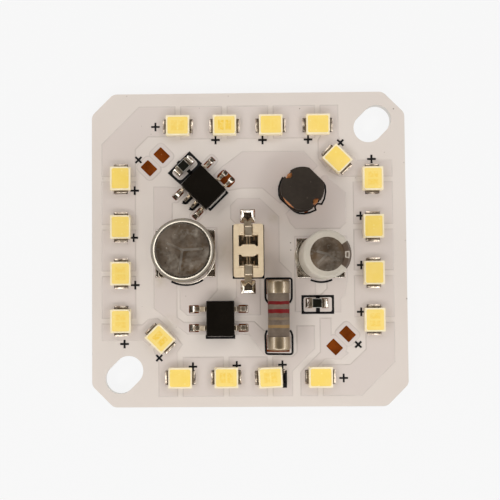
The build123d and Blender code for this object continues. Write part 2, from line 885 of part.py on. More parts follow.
small_can = make_can(small_cap_radius, small_cap_height, small_cap_shoulder, small_vent_arms)
small_leads = make_cap_leads(small_cap_pitch)
place_copy(small_can, small_cap_seat, "capacitor_2_can")
small_leads_placed = place_copy(small_leads, small_cap_seat, "capacitor_2_leads")
place_copy(make_seal(small_cap_radius, small_can, small_leads), small_cap_seat, "capacitor_2_seal")
place_copy(make_element(small_cap_radius, small_cap_height), small_cap_seat, "capacitor_2_element")

# Sleeve shrunk round the small can and folded over its top edge
sleeve_top = cap_standoff + small_cap_height
outer_radius = small_cap_radius + sleeve_thickness
outer_shoulder = small_cap_shoulder + sleeve_thickness
inner_blend = small_cap_shoulder * (1 - sqrt(0.5))
outer_blend = outer_shoulder * (1 - sqrt(0.5))
with BuildPart() as small_sleeve:
    with BuildSketch(Plane.XZ):
        with BuildLine():
            shoulder_x = small_cap_radius - small_cap_shoulder
            shoulder_z = sleeve_top - small_cap_shoulder
            Polyline(
                (shoulder_x, sleeve_top),
                (sleeve_window, sleeve_top),
                (sleeve_window, sleeve_top + sleeve_thickness),
                (shoulder_x, sleeve_top + sleeve_thickness),
            )
            ThreePointArc(
                (shoulder_x, sleeve_top + sleeve_thickness),
                (outer_radius - outer_blend, sleeve_top + sleeve_thickness - outer_blend),
                (outer_radius, shoulder_z),
            )
            Polyline(
                (outer_radius, shoulder_z),
                (outer_radius, cap_standoff + 0.2),
                (small_cap_radius, cap_standoff + 0.2),
                (small_cap_radius, shoulder_z),
            )
            ThreePointArc(
                (small_cap_radius, shoulder_z),
                (small_cap_radius - inner_blend, sleeve_top - inner_blend),
                (shoulder_x, sleeve_top),
            )
        make_face()
    revolve(axis=Axis.Z)
place_copy(small_sleeve.part, small_cap_seat, "capacitor_2_sleeve")


def moulded_body(length, width, height, leads):
    """Moulded package with drafted sides, parted at half its height and closed round its leads."""
    middle = package_standoff + height / 2
    with BuildPart() as body:
        for direction in (1, -1):
            with BuildSketch(Plane.XY.offset(middle)):
                Rectangle(length, width)
            extrude(amount=direction * height / 2, taper=package_draft)
        add(leads, mode=Mode.SUBTRACT)
    return body.part


# Driver chip
driver_lead = gull_wing(
    driver_width / 2, driver_span, driver_height, driver_lead_thickness, driver_lead_width
)
with BuildPart() as driver_leads:
    for step, side in driver_pins:
        with Locations(Location((step * driver_lead_pitch, 0, 0), (0, 0, side * 90))):
            add(driver_lead)
driver_body = moulded_body(driver_length, driver_width, driver_height, driver_leads.part)
place_copy(driver_body, driver_seat, "driver_chip_body")
driver_leads_placed = place_copy(driver_leads.part, driver_seat, "driver_chip_leads")

# Bridge rectifier
bridge_lead = gull_wing(
    bridge_width / 2, bridge_span, bridge_height, bridge_lead_thickness, bridge_lead_width
)
with BuildPart() as bridge_leads:
    for side_x, side_y in bridge_pins:
        turn = 0 if side_x > 0 else 180
        with Locations(Location((0, side_y * bridge_lead_pitch / 2, 0), (0, 0, turn))):
            add(bridge_lead)
bridge_body = moulded_body(bridge_width, bridge_length, bridge_height, bridge_leads.part)
place_copy(bridge_body, bridge_seat, "bridge_body")
bridge_leads_placed = place_copy(bridge_leads.part, bridge_seat, "bridge_leads")

# Fusible resistor
rod_length = fuse_length - 2 * fuse_cap_wall
with BuildPart() as fuse_rod:
    with Locations(Location((0, 0, fuse_cap_radius), (0, 90, 0))):
        Cylinder(fuse_rod_radius, rod_length)
with BuildPart() as fuse_caps:
    with Locations(Location((0, 0, fuse_cap_radius), (0, 90, 0))):
        Cylinder(fuse_cap_radius, fuse_length)
    fillet(fuse_caps.edges().filter_by(GeomType.CIRCLE), fuse_cap_round)
    with Locations((0, 0, fuse_cap_radius)):
        Box(fuse_length - 2 * fuse_cap_length, 4 * fuse_cap_radius, 4 * fuse_cap_radius, mode=Mode.SUBTRACT)
    add(fuse_rod.part, mode=Mode.SUBTRACT)
fuse_rod_placed = place_copy(fuse_rod.part, fuse_seat, "fuse_resistor_body")
fuse_caps_placed = place_copy(fuse_caps.part, fuse_seat, "fuse_resistor_caps")

# Drum inductor
flange_bottom = electrode_thickness
flange_top = inductor_height - flange_thickness
with BuildSketch() as flange_shape:
    Circle(inductor_radius)
    Rectangle(2 * inductor_flat, 3 * inductor_radius, mode=Mode.INTERSECT)
    with PolarLocations(inductor_radius - flange_notch_depth + flange_notch, 2, start_angle=90):
        Circle(flange_notch, mode=Mode.SUBTRACT)
        with Locations((flange_notch, 0)):
            Rectangle(2 * flange_notch, 2 * flange_notch, mode=Mode.SUBTRACT)
with BuildPart() as inductor_core:
    with Locations((0, 0, flange_bottom), (0, 0, flange_top)):
        add(flange_shape.sketch)
    extrude(amount=flange_thickness)
    chamfer(inductor_core.faces().sort_by(Axis.Z)[-1].edges(), 0.08)
    with Locations((0, 0, flange_bottom)):
        Cylinder(hub_radius, flange_top - flange_bottom + 0.1, align=(Align.CENTER, Align.CENTER, Align.MIN))

winding_bottom = flange_bottom + flange_thickness
wire_radius = (flange_top - winding_bottom) / (2 * winding_turns)
wire_centre = winding_radius - wire_radius
wire_levels = [winding_bottom + (2 * turn + 1) * wire_radius for turn in range(winding_turns)]
end_wire_reach = inductor_radius - flange_notch_depth + end_wire_radius + 0.05
end_wire_height = flange_top + flange_thickness / 2 - electrode_thickness
with BuildPart() as inductor_winding:
    with BuildSketch(Plane.XZ):
        with BuildLine():
            for level in wire_levels:
                ThreePointArc(
                    (wire_centre, level - wire_radius),
                    (winding_radius, level),
                    (wire_centre, level + wire_radius),
                )
            Polyline(
                (wire_centre, flange_top),
                (hub_radius, flange_top),
                (hub_radius, winding_bottom),
                (wire_centre, winding_bottom),
            )
        make_face()
    revolve(axis=Axis.Z)
    with Locations(*[(0, side * end_wire_reach, electrode_thickness) for side in (-1, 1)]):
        Cylinder(end_wire_radius, end_wire_height, align=(Align.CENTER, Align.CENTER, Align.MIN))
    add(inductor_core.part, mode=Mode.SUBTRACT)

with BuildPart() as inductor_terminals:
    with BuildSketch():
        with Locations(*[(0, side * electrode_middle) for side in (-1, 1)]):
            Rectangle(2 * electrode_width, electrode_width)
        Circle(inductor_radius - 0.1, mode=Mode.INTERSECT)
    extrude(amount=electrode_thickness)
place_copy(inductor_core.part, inductor_seat, "inductor_core")
place_copy(inductor_winding.part, inductor_seat, "inductor_winding")
inductor_terminals_placed = place_copy(inductor_terminals.part, inductor_seat, "inductor_terminals")

# Chip resistors
with BuildPart() as chip_body:
    with Locations((0, 0, chip_height / 2)):
        Box(chip_length - 2 * chip_cap_wall, chip_width, chip_height - 2 * chip_cap_wall)
with BuildPart() as chip_caps:
    with Locations(*[(side * (chip_length - chip_cap_length) / 2, 0, chip_height / 2) for side in (-1, 1)]):
        Box(chip_cap_length, chip_width, chip_height)
    add(chip_body.part, mode=Mode.SUBTRACT)
glaze_length = chip_length - 2 * chip_cap_length - 0.08
with BuildPart() as chip_coating:
    with Locations((0, 0, chip_height - chip_cap_wall + chip_glaze_thickness / 2)):
        Box(glaze_length, chip_width - 0.1, chip_glaze_thickness)
chip_caps_placed = []
for place, name in ((sense_seat, "sense_resistor"), (bleed_seat, "bleed_resistor")):
    place_copy(chip_body.part, place, f"{name}_body")
    place_copy(chip_coating.part, place, f"{name}_coating")
    chip_caps_placed.append(place_copy(chip_caps.part, place, f"{name}_caps"))

# Connector and its two contacts
place_copy(connector_housing.part, connector_seat, "connector_housing")
contacts_placed = [
    place_copy(contact.part, connector_seat * Location((0, 0, 0), (0, 0, turn)), name)
    for turn, name in ((0, "connector_contact_upper"), (180, "connector_contact_lower"))
]

# Solder over one contact's tail, round the pad's middle with the housing on the -Y side. Each outline has
# five sides and a tip towards the housing: height, half width, outer edge, shoulder and tip.
tail_half_width = tail_pad_width / 2 - fit_clearance
tail_half_length = tail_pad_length / 2 - fit_clearance
tail_mound_outlines = (
    (0.0, tail_half_width, tail_half_length, 0.05 - tail_half_length, -tail_half_length),
    (0.17, tail_width / 2 + 0.27, 0.72, -0.35, -0.87),
    (0.3, tail_width / 2 + 0.03, 0.46, -0.1, -0.62),
)
with BuildPart() as tail_mound:
    for level, half_width, outer, shoulder, tip in tail_mound_outlines:
        with BuildSketch(Plane.XY.offset(level)):
            Polygon(
                (-half_width, outer),
                (-half_width, shoulder),
                (0, tip),
                (half_width, shoulder),
                (half_width, outer),
                align=None,
            )
    loft(ruled=True)

# Solder of everything but the diodes
toe_solder_rise = 0.26
fuse_solder_rise = 0.75
with BuildPart() as component_solder:
    with BuildSketch(Plane.XY.offset(copper_top)):
        lay_pads(
            large_cap_pads + small_cap_pads + driver_pads + [drain_pad] + bridge_pads
            + fuse_pads + inductor_pads + chip_pads + tail_pads
        )
    extrude(amount=mask_thickness)
    with BuildSketch(Plane.XY.offset(seat_level)):
        lay_pads(large_cap_pads + small_cap_pads, -fit_clearance)
    extrude(amount=cap_solder_rise, taper=45)
    for turn in (0, 180):
        side = Location((0, 0, 0), (0, 0, turn)) * Location((0, tail_pad_middle, 0))
        with Locations(raised(connector_seat) * side):
            add(tail_mound.part)
    chip_joint = solder_wedge(
        chip_length / 2, chip_pad_outer - chip_length / 2, chip_solder_rise, chip_width - 0.1
    )
    for place in (sense_seat, bleed_seat):
        for turn in (0, 180):
            with Locations(raised(place) * Location((0, 0, 0), (0, 0, turn))):
                add(chip_joint)
    driver_joint = solder_wedge(
        driver_span / 2,
        driver_pad_reach - driver_span / 2 - fit_clearance,
        toe_solder_rise,
        1.6 * driver_lead_width,
    )
    for step, side in driver_soldered_pins + [(0.5, 1), (1.5, 1)]:
        toe = Location((step * driver_lead_pitch, 0, 0), (0, 0, side * 90))
        with Locations(raised(driver_seat) * toe):
            add(driver_joint)
    bridge_toe = bridge_pad_reach - bridge_span / 2 - fit_clearance
    for side_x, side_y in bridge_pins:
        bridge_joint = solder_wedge(
            bridge_span / 2,
            bridge_toe + side_x * bridge_pad_shift,
            toe_solder_rise,
            bridge_lead_width + 0.2,
        )
        toe = Location((0, side_y * bridge_lead_pitch / 2, 0), (0, 0, 0 if side_x > 0 else 180))
        with Locations(raised(bridge_seat) * toe):
            add(bridge_joint)
    fuse_joint = solder_wedge(0, fuse_pad_width / 2 - fit_clearance, fuse_solder_rise, fuse_cap_length)
    for side in (-1, 1):
        for turn in (90, 270):
            middle = Location((side * (fuse_length - fuse_cap_length) / 2, 0, 0), (0, 0, turn))
            with Locations(raised(fuse_seat) * middle):
                add(fuse_joint)
    for metal in (
        [large_leads_placed, small_leads_placed, driver_leads_placed, bridge_leads_placed]
        + [fuse_rod_placed, fuse_caps_placed, inductor_terminals_placed] + chip_caps_placed + contacts_placed
    ):
        add(metal, mode=Mode.SUBTRACT)
finish(component_solder.part, "component_solder")
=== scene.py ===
# %% [markdown]
# # A driver-on-board light module, dressed
# The CAD model gives every piece its true shape and place. This notebook adds what a CAD
# model leaves plain: soft edges, reflowed solder, print, and finishes that vary as real ones
# do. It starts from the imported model, which comes in as one object per node.
# %% Load the frame
from math import cos, pi, radians, sin

import bmesh
import bpy
from mathutils import Matrix, Vector


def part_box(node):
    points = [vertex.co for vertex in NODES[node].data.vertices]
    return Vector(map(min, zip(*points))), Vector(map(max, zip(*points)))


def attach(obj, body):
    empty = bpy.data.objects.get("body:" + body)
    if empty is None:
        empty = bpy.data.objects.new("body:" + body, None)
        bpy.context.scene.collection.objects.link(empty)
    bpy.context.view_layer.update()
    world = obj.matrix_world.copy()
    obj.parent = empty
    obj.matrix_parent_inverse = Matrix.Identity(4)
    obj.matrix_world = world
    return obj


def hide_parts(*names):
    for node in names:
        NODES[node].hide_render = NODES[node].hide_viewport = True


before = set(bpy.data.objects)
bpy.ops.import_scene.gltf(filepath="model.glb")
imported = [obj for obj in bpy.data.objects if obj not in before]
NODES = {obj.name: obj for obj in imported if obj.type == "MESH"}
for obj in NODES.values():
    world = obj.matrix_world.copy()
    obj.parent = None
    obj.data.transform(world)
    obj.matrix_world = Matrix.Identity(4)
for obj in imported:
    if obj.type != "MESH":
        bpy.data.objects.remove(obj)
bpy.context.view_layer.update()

MM = 0.001
SCENE = bpy.context.scene
print("CAD nodes:", len(NODES))

# %% [markdown]
# ## The camera
# The photograph was taken from about 10 cm above the board, a little below and left of its
# middle. The camera's place and turn were worked out from the board's outline and the known
# sizes of its parts, so that the model lands on the photograph. The frame was cropped off
# centre, which the lens shift repeats.
# %% Camera
FOCAL_PIXELS = 746.65
IMAGE_PIXELS = 500
SHIFT_PIXELS = (37.35, 23.47)
CAMERA_PLACE = Vector((-3.593, -7.087, 103.13)) * MM
CAMERA_TURN = (
    (0.99988, 0.00759, 0.0135),
    (-0.00709, 0.9993, -0.03662),
    (-0.01377, 0.03652, 0.99924),
)

camera_data = bpy.data.cameras.new("camera")
camera_data.sensor_width = 36.0
camera_data.lens = camera_data.sensor_width * FOCAL_PIXELS / IMAGE_PIXELS
camera_data.shift_x = SHIFT_PIXELS[0] / IMAGE_PIXELS
camera_data.shift_y = SHIFT_PIXELS[1] / IMAGE_PIXELS
camera_data.clip_start = 5 * MM
camera = bpy.data.objects.new("camera", camera_data)
camera_matrix = Matrix(CAMERA_TURN).to_4x4()
camera_matrix.translation = CAMERA_PLACE
camera.matrix_world = camera_matrix
SCENE.collection.objects.link(camera)
SCENE.camera = camera
print("lens", round(camera_data.lens, 2), "mm")

# %% [markdown]
# ## Finishes: small helpers
# A finish here is a Principled shader whose plain values are set on its own sockets. Only
# what varies over the surface is linked: a colour, a roughness or a bump that comes from
# noise in object coordinates, which stay on the object whatever the camera does.
# %% Node helpers
def add_node(tree, kind, **values):
    """Adds a node. A value whose name is an attribute is set there, and otherwise on the input."""
    node = tree.nodes.new(kind)
    for key, value in values.items():
        if hasattr(node, key):
            setattr(node, key, value)
        else:
            node.inputs[key.replace("_", " ")].default_value = value
    return node


def link(tree, start, start_socket, end, end_socket):
    tree.links.new(start.outputs[start_socket], end.inputs[end_socket])


def calculate(tree, operation, *sources):
    """A Math node fed by pairs of a node and its output."""
    result = add_node(tree, "ShaderNodeMath", operation=operation)
    for index, (source, socket) in enumerate(sources):
        link(tree, source, socket, result, index)
    return result


def new_group(name, inputs, outputs):
    """A shader node group with its own named sockets."""
    group = bpy.data.node_groups.new(name, "ShaderNodeTree")
    for label, kind, value in inputs:
        socket = group.interface.new_socket(name=label, in_out="INPUT", socket_type=kind)
        socket.default_value = value
    for label, kind in outputs:
        group.interface.new_socket(name=label, in_out="OUTPUT", socket_type=kind)
    return group, group.nodes.new("NodeGroupInput"), group.nodes.new("NodeGroupOutput")


FLOAT = "NodeSocketFloat"
VECTOR = "NodeSocketVector"

# %% [markdown]
# ## Shared effects
# Four effects come back on many surfaces, so each is a node group: cloudy patches (a slow
# and a fine noise together), small specks (cells of which only a few are kept), a band
# between two values, and the bearing and distance of a point from an upright axis.
# %% Shader groups
def make_patches():
    group, start, end = new_group(
        "cloudy_patches",
        [("Scale", FLOAT, 200.0), ("Fine", FLOAT, 6.0), ("Low", FLOAT, 0.35), ("High", FLOAT, 0.65)],
        [("Value", FLOAT)],
    )
    place = add_node(group, "ShaderNodeTexCoord")
    slow = add_node(group, "ShaderNodeTexNoise", Detail=2.0)
    fine = add_node(group, "ShaderNodeTexNoise", Detail=3.0)
    times = calculate(group, "MULTIPLY", (start, "Scale"), (start, "Fine"))
    mix = add_node(group, "ShaderNodeMix", data_type="FLOAT", Factor=0.3)
    spread = add_node(group, "ShaderNodeMapRange")
    link(group, place, "Object", slow, "Vector")
    link(group, place, "Object", fine, "Vector")
    link(group, start, "Scale", slow, "Scale")
    link(group, times, 0, fine, "Scale")
    link(group, slow, "Fac", mix, 2)
    link(group, fine, "Fac", mix, 3)
    link(group, mix, 0, spread, "Value")
    link(group, start, "Low", spread, "From Min")
    link(group, start, "High", spread, "From Max")
    link(group, spread, "Result", end, "Value")
    return group


def make_specks():
    group, start, end = new_group(
        "small_specks",
        [("Scale", FLOAT, 400.0), ("Size", FLOAT, 0.12), ("Share", FLOAT, 0.05)],
        [("Mask", FLOAT)],
    )
    place = add_node(group, "ShaderNodeTexCoord")
    cells = add_node(group, "ShaderNodeTexVoronoi")
    pick = add_node(group, "ShaderNodeSeparateColor")
    link(group, place, "Object", cells, "Vector")
    link(group, start, "Scale", cells, "Scale")
    link(group, cells, "Color", pick, "Color")
    near = calculate(group, "LESS_THAN", (cells, "Distance"), (start, "Size"))
    few = calculate(group, "LESS_THAN", (pick, "Red"), (start, "Share"))
    both = calculate(group, "MULTIPLY", (near, 0), (few, 0))
    link(group, both, 0, end, "Mask")
    return group


def make_band():
    group, start, end = new_group(
        "band_between",
        [("Value", FLOAT, 0.0), ("Middle", FLOAT, 0.0), ("Half Width", FLOAT, 0.1), ("Edge", FLOAT, 0.02)],
        [("Mask", FLOAT)],
    )
    away = calculate(group, "SUBTRACT", (start, "Value"), (start, "Middle"))
    size = calculate(group, "ABSOLUTE", (away, 0))
    outer = calculate(group, "ADD", (start, "Half Width"), (start, "Edge"))
    fade = add_node(group, "ShaderNodeMapRange", To_Min=1.0, To_Max=0.0)
    link(group, size, 0, fade, "Value")
    link(group, start, "Half Width", fade, "From Min")
    link(group, outer, 0, fade, "From Max")
    link(group, fade, "Result", end, "Mask")
    return group


def make_bearing():
    group, start, end = new_group(
        "bearing_and_reach", [("Centre", VECTOR, (0.0, 0.0, 0.0))], [("Bearing", FLOAT), ("Reach", FLOAT)]
    )
    place = add_node(group, "ShaderNodeTexCoord")
    shift = add_node(group, "ShaderNodeVectorMath", operation="SUBTRACT")
    flat = add_node(group, "ShaderNodeVectorMath", operation="MULTIPLY")
    flat.inputs[1].default_value = (1.0, 1.0, 0.0)
    parts = add_node(group, "ShaderNodeSeparateXYZ")
    reach = add_node(group, "ShaderNodeVectorMath", operation="LENGTH")
    link(group, place, "Object", shift, 0)
    link(group, start, "Centre", shift, 1)
    link(group, shift, 0, flat, 0)
    link(group, flat, 0, parts, 0)
    turn = calculate(group, "ARCTAN2", (parts, "Y"), (parts, "X"))
    link(group, flat, 0, reach, 0)
    link(group, turn, 0, end, "Bearing")
    link(group, reach, "Value", end, "Reach")
    return group


PATCHES = make_patches()
SPECKS = make_specks()
BAND = make_band()
BEARING = make_bearing()
print("groups:", [g.name for g in (PATCHES, SPECKS, BAND, BEARING)])

# %% Finish builder
class Finish:
    """A Principled material that is varied step by step."""

    def __init__(self, name, color, roughness, metallic=0.0, **plain):
        self.material = bpy.data.materials.new(name)
        self.material.use_nodes = True
        self.tree = self.material.node_tree
        self.shader = self.tree.nodes["Principled BSDF"]
        self.color = (*color, 1.0)
        self.roughness = roughness
        self.shader.inputs["Base Color"].default_value = self.color
        self.shader.inputs["Roughness"].default_value = roughness
        self.shader.inputs["Metallic"].default_value = metallic
        for key, value in plain.items():
            self.shader.inputs[key.replace("_", " ")].default_value = value

    def use(self, group, **values):
        node = self.tree.nodes.new("ShaderNodeGroup")
        node.node_tree = group
        for key, value in values.items():
            node.inputs[key.replace("_", " ")].default_value = value
        return node

    def place(self):
        """The point's X, Y and Z, as the outputs of one node."""
        place = add_node(self.tree, "ShaderNodeTexCoord")
        parts = add_node(self.tree, "ShaderNodeSeparateXYZ")
        link(self.tree, place, "Object", parts, 0)
        return parts

    def band(self, source, socket, middle, half, edge):
        """A mask that is 1 up to half from the middle and fades out over the edge."""
        mask = self.use(BAND, Middle=middle, Half_Width=half, Edge=edge)
        link(self.tree, source, socket, mask, "Value")
        return mask

    def combine(self, operation, first, second):
        """A Math node between the first outputs of two nodes."""
        return calculate(self.tree, operation, (first, 0), (second, 0))

    def lay_over(self, name, mix, under, result, plain):
        """Puts a mix between the shader's socket and what fed it, or its plain value."""
        socket = self.shader.inputs[name]
        if socket.is_linked:
            self.tree.links.new(socket.links[0].from_socket, mix.inputs[under])
        else:
            mix.inputs[under].default_value = plain
        self.tree.links.new(mix.outputs[result], socket)
        return self

    def paint(self, source, socket, color, share=1.0):
        """Lays a colour over the finish where the mask is 1."""
        mix = add_node(self.tree, "ShaderNodeMix", data_type="RGBA")
        amount = calculate(self.tree, "MULTIPLY", (source, socket))
        amount.inputs[1].default_value = share
        link(self.tree, amount, 0, mix, 0)
        mix.inputs[7].default_value = (*color, 1.0)
        return self.lay_over("Base Color", mix, under=6, result=2, plain=self.color)

    def cloud(self, color, scale, fine=6.0, low=0.35, high=0.65, share=1.0):
        patches = self.use(PATCHES, Scale=scale, Fine=fine, Low=low, High=high)
        return self.paint(patches, "Value", color, share)

    def dust(self, color, scale, size, share, strength):
        return self.paint(self.use(SPECKS, Scale=scale, Size=size, Share=share), "Mask", color, strength)

    def vary_roughness(self, other, scale):
        patches = self.use(PATCHES, Scale=scale, Fine=5.0)
        spread = add_node(self.tree, "ShaderNodeMapRange", To_Min=self.roughness, To_Max=other)
        link(self.tree, patches, "Value", spread, "Value")
        link(self.tree, spread, "Result", self.shader, "Roughness")
        return self

    def roughen(self, source, socket, value):
        """Brings the roughness to a value where the mask is 1."""
        mix = add_node(self.tree, "ShaderNodeMix", data_type="FLOAT")
        link(self.tree, source, socket, mix, 0)
        mix.inputs[3].default_value = value
        return self.lay_over("Roughness", mix, under=2, result=0, plain=self.roughness)

    def bump(self, scale, depth):
        patches = self.use(PATCHES, Scale=scale, Fine=4.0, Low=0.25, High=0.75)
        node = add_node(self.tree, "ShaderNodeBump", Distance=depth * MM, Strength=1.0)
        link(self.tree, patches, "Value", node, "Height")
        if self.shader.inputs["Normal"].is_linked:
            self.tree.links.new(self.shader.inputs["Normal"].links[0].from_socket, node.inputs["Normal"])
        link(self.tree, node, "Normal", self.shader, "Normal")
        return self


# %% [markdown]
# ## Metals
# Each metal has a colour of its own: sheared, drawn and wound aluminium, tin, solder, silver
# plating, bare copper and enamelled wire. All are Metallic 1 but the tarnished copper and the
# enamelled wire, which are less. Solder freezes with a slightly wavy skin, so it gets a slow
# bump, and tin a fine one. The cans' vents are painted pale in patches, a painted highlight.
# The large can's shoulder has two rings of painted shade, which stand in for the darker room
# that it reflects; they are kept off the vents by their distance from its axis. One end of the
# crooked diode is painted black.
# %% Metals
CAN_TOPS = (11.545, 7.425)
VENT_DEPTH = 0.12
base_metal = Finish("sheared_aluminium", (0.74, 0.71, 0.67), 0.38, 1.0)
base_metal.cloud((0.58, 0.55, 0.51), 220).vary_roughness(0.55, 500).bump(1800, 0.012)

can_metal = Finish("drawn_aluminium", (0.50, 0.41, 0.325), 0.30, 1.0)
can_metal.cloud((0.25, 0.185, 0.130), 360, fine=5.0, low=0.40, high=0.60)
can_metal.cloud((0.33, 0.200, 0.100), 240, fine=3.0, low=0.50, high=0.64, share=0.75)
can_metal.cloud((0.92, 0.85, 0.74), 560, fine=5.0, low=0.50, high=0.70, share=0.8)
can_metal.dust((0.90, 0.85, 0.76), 1900, 0.16, 0.07, 0.8)
can_metal.dust((0.10, 0.075, 0.05), 1500, 0.17, 0.06, 0.7)
can_place = can_metal.place()
vent_highlight_patches = can_metal.use(PATCHES, Scale=260.0, Fine=3.0, Low=0.33, High=0.56)
flat = None
for level in CAN_TOPS:
    face = can_metal.band(can_place, "Z", level * MM, half=0.006 * MM, edge=0.01 * MM)
    vent = can_metal.band(can_place, "Z", (level - VENT_DEPTH) * MM, half=0.02 * MM, edge=0.02 * MM)
    for mask in (face, vent):
        flat = mask if flat is None else can_metal.combine("MAXIMUM", flat, mask)
    # painted highlight: each vent's floor is painted pale in patches, as if it caught the light
    can_metal.paint(can_metal.combine("MULTIPLY", vent, vent_highlight_patches), 0, (0.90, 0.86, 0.79), 0.9)
can_metal.vary_roughness(0.42, 420)
wall = add_node(can_metal.tree, "ShaderNodeMath", operation="SUBTRACT")
wall.inputs[0].default_value = 1.0
link(can_metal.tree, flat, 0, wall, 1)
can_metal.paint(wall, 0, (0.47, 0.42, 0.35)).roughen(wall, 0, 0.2)
LARGE_AXIS = Vector((-8.55, -0.80))
LARGE_RADIUS = 4.0
TONES_REACH = 0.76
SHOULDER_SHADE_RINGS = (
    # painted shade, in two rings: depth of the band's middle below the large can's top, half height, colour,
    # strength
    (0.065, 0.065, (0.355, 0.32, 0.265), 1.0),
    (0.465, 0.335, (0.15, 0.13, 0.105), 0.75),
)
rim_away = can_metal.use(BEARING, Centre=LARGE_AXIS.to_3d() * MM)
rim_reach = can_metal.band(rim_away, "Reach", LARGE_RADIUS * MM, half=TONES_REACH * MM, edge=0.03 * MM)
# painted shade: two darker rings on the large can's shoulder stand in for the darker room that it reflects
for depth, half, tone, strength in SHOULDER_SHADE_RINGS:
    rim = can_metal.band(can_place, "Z", (CAN_TOPS[0] - depth) * MM, half * MM, edge=0.02 * MM)
    can_metal.paint(can_metal.combine("MULTIPLY", rim, rim_reach), 0, tone, strength)
can_metal.cloud((0.36, 0.31, 0.25), 180, share=0.3).bump(420, 0.008)

tin = Finish("tin_plating", (0.56, 0.485, 0.385), 0.24, 1.0)
tin.cloud((0.37, 0.30, 0.215), 700).vary_roughness(0.36, 900).bump(1500, 0.008)

spring_tin = Finish("spring_plating", (0.60, 0.51, 0.385), 0.46, 1.0)
spring_tin.cloud((0.46, 0.38, 0.275), 600).vary_roughness(0.42, 900).bump(1800, 0.006)

cap_tin = Finish(
    "pressed_cap_plating", (0.29, 0.225, 0.145), 0.42, 1.0, Coat_Weight=0.6, Coat_IOR=1.8, Coat_Roughness=0.07
)
cap_tin.cloud((0.215, 0.160, 0.098), 620).vary_roughness(0.48, 900).bump(1100, 0.004)

solder = Finish("reflowed_solder", (0.65, 0.60, 0.53), 0.14, 1.0)
solder.cloud((0.22, 0.175, 0.13), 950, low=0.44, high=0.60).vary_roughness(0.24, 1200)
solder.bump(600, 0.03).bump(2400, 0.004)

silver = Finish("silver_plating", (0.38, 0.305, 0.225), 0.2, 1.0)
silver.cloud((0.24, 0.180, 0.125), 900).vary_roughness(0.38, 900).bump(1500, 0.008)

fillet_solder = Finish("thin_solder_fillet", (0.36, 0.305, 0.245), 0.12, 1.0)
fillet_solder.cloud((0.080, 0.058, 0.042), 1500, low=0.40, high=0.58).vary_roughness(0.25, 1200)
fillet_solder.bump(900, 0.02)
# the end of the crooked diode, whose solder is painted black
BLACKENED_END = (4.76, -17.95)
blackened_away = fillet_solder.use(BEARING, Centre=Vector((*BLACKENED_END, 0.0)) * MM)
blackened = fillet_solder.band(blackened_away, "Reach", 0.0, half=0.98 * MM, edge=0.08 * MM)
# the solder within reach of that end is painted black
fillet_solder.paint(blackened, 0, (0.0030, 0.0026, 0.0030)).roughen(blackened, 0, 0.6)

# painted highlight: a solder finish brighter than the pads' solder, for the ridges and the small can's
# painted reflection
bright_ridge_solder = Finish("solder_ridge", (0.88, 0.82, 0.71), 0.34, 1.0)
bright_ridge_solder.cloud((0.55, 0.48, 0.38), 900).bump(1500, 0.006)

copper = Finish("bare_copper", (0.31, 0.070, 0.009), 0.38, 0.85, Specular_IOR_Level=0.1)
copper.cloud((0.20, 0.040, 0.005), 420).dust((0.60, 0.30, 0.14), 2600, 0.16, 0.05, 0.4)
copper.vary_roughness(0.5, 700).bump(2600, 0.006)

wire = Finish("enamelled_wire", (0.86, 0.37, 0.14), 0.3, 0.6, Coat_Weight=0.6, Coat_Roughness=0.1)
wire.cloud((0.60, 0.215, 0.065), 700).bump(1500, 0.008)

foil = Finish("wound_foil", (0.5, 0.48, 0.45), 0.4, 1.0)
foil.cloud((0.38, 0.36, 0.33), 700).bump(1500, 0.01)
print("metals:", [m.name for m in bpy.data.materials])

# %% [markdown]
# ## Plastics, ceramics and coatings
# The white solder mask is the largest surface. It lies over the copper in a step, looks a
# shade darker there, and has faint brownish darker patches beside some parts and a few dark
# specks of dust. The rest are moulded, sintered or lacquered surfaces with a fine grain.
# %% Plastics and ceramics
MASK_TOP = 1.145
MASK_LOW = 1.110
# heights between which the mask darkens over the copper
TONE_STEP = (1.12, 1.14)
mask_paint = Finish("white_solder_mask", (0.655, 0.588, 0.534), 0.45, Specular_IOR_Level=0.3)
over_copper = add_node(mask_paint.tree, "ShaderNodeMapRange")
over_copper.inputs["From Min"].default_value = TONE_STEP[0] * MM
over_copper.inputs["From Max"].default_value = TONE_STEP[1] * MM
link(mask_paint.tree, mask_paint.place(), "Z", over_copper, "Value")
mask_paint.paint(over_copper, "Result", (0.610, 0.538, 0.493))
mask_paint.cloud((0.60, 0.515, 0.455), 60, fine=3.0, low=0.5, high=0.8, share=0.5)
# place and reach of each brownish darker patch
DARK_PATCHES = ((-3.4, -0.6, 1.3), (-12.2, -4.4, 1.1), (3.6, 4.2, 1.0), (-10.6, -9.7, 1.2))
dark_patch_noise = mask_paint.use(PATCHES, Scale=420.0, Fine=4.0, Low=0.34, High=0.66)
for x, y, reach in DARK_PATCHES:
    away = mask_paint.use(BEARING, Centre=Vector((x, y, 0.0)) * MM)
    dark_patch = mask_paint.band(away, "Reach", 0.0, half=0.2 * MM, edge=reach * MM)
    # a brownish darker patch round each place, broken up by noise
    mask_paint.paint(mask_paint.combine("MULTIPLY", dark_patch, dark_patch_noise), 0, (0.47, 0.40, 0.29), 0.6)
mask_paint.dust((0.14, 0.10, 0.08), 700, 0.07, 0.028, 0.8)
mask_paint.dust((0.25, 0.19, 0.15), 1500, 0.10, 0.035, 0.7)
mask_paint.vary_roughness(0.52, 500).bump(900, 0.004)

resin_layer = Finish("filled_resin", (0.55, 0.48, 0.38), 0.6)
resin_layer.cloud((0.43, 0.37, 0.28), 500).bump(1500, 0.01)

led_plastic = Finish("led_moulding", (0.90, 0.80, 0.58), 0.4, Coat_Weight=0.2, Coat_Roughness=0.3)
led_plastic.cloud((0.84, 0.72, 0.47), 600).vary_roughness(0.5, 900).bump(2200, 0.004)

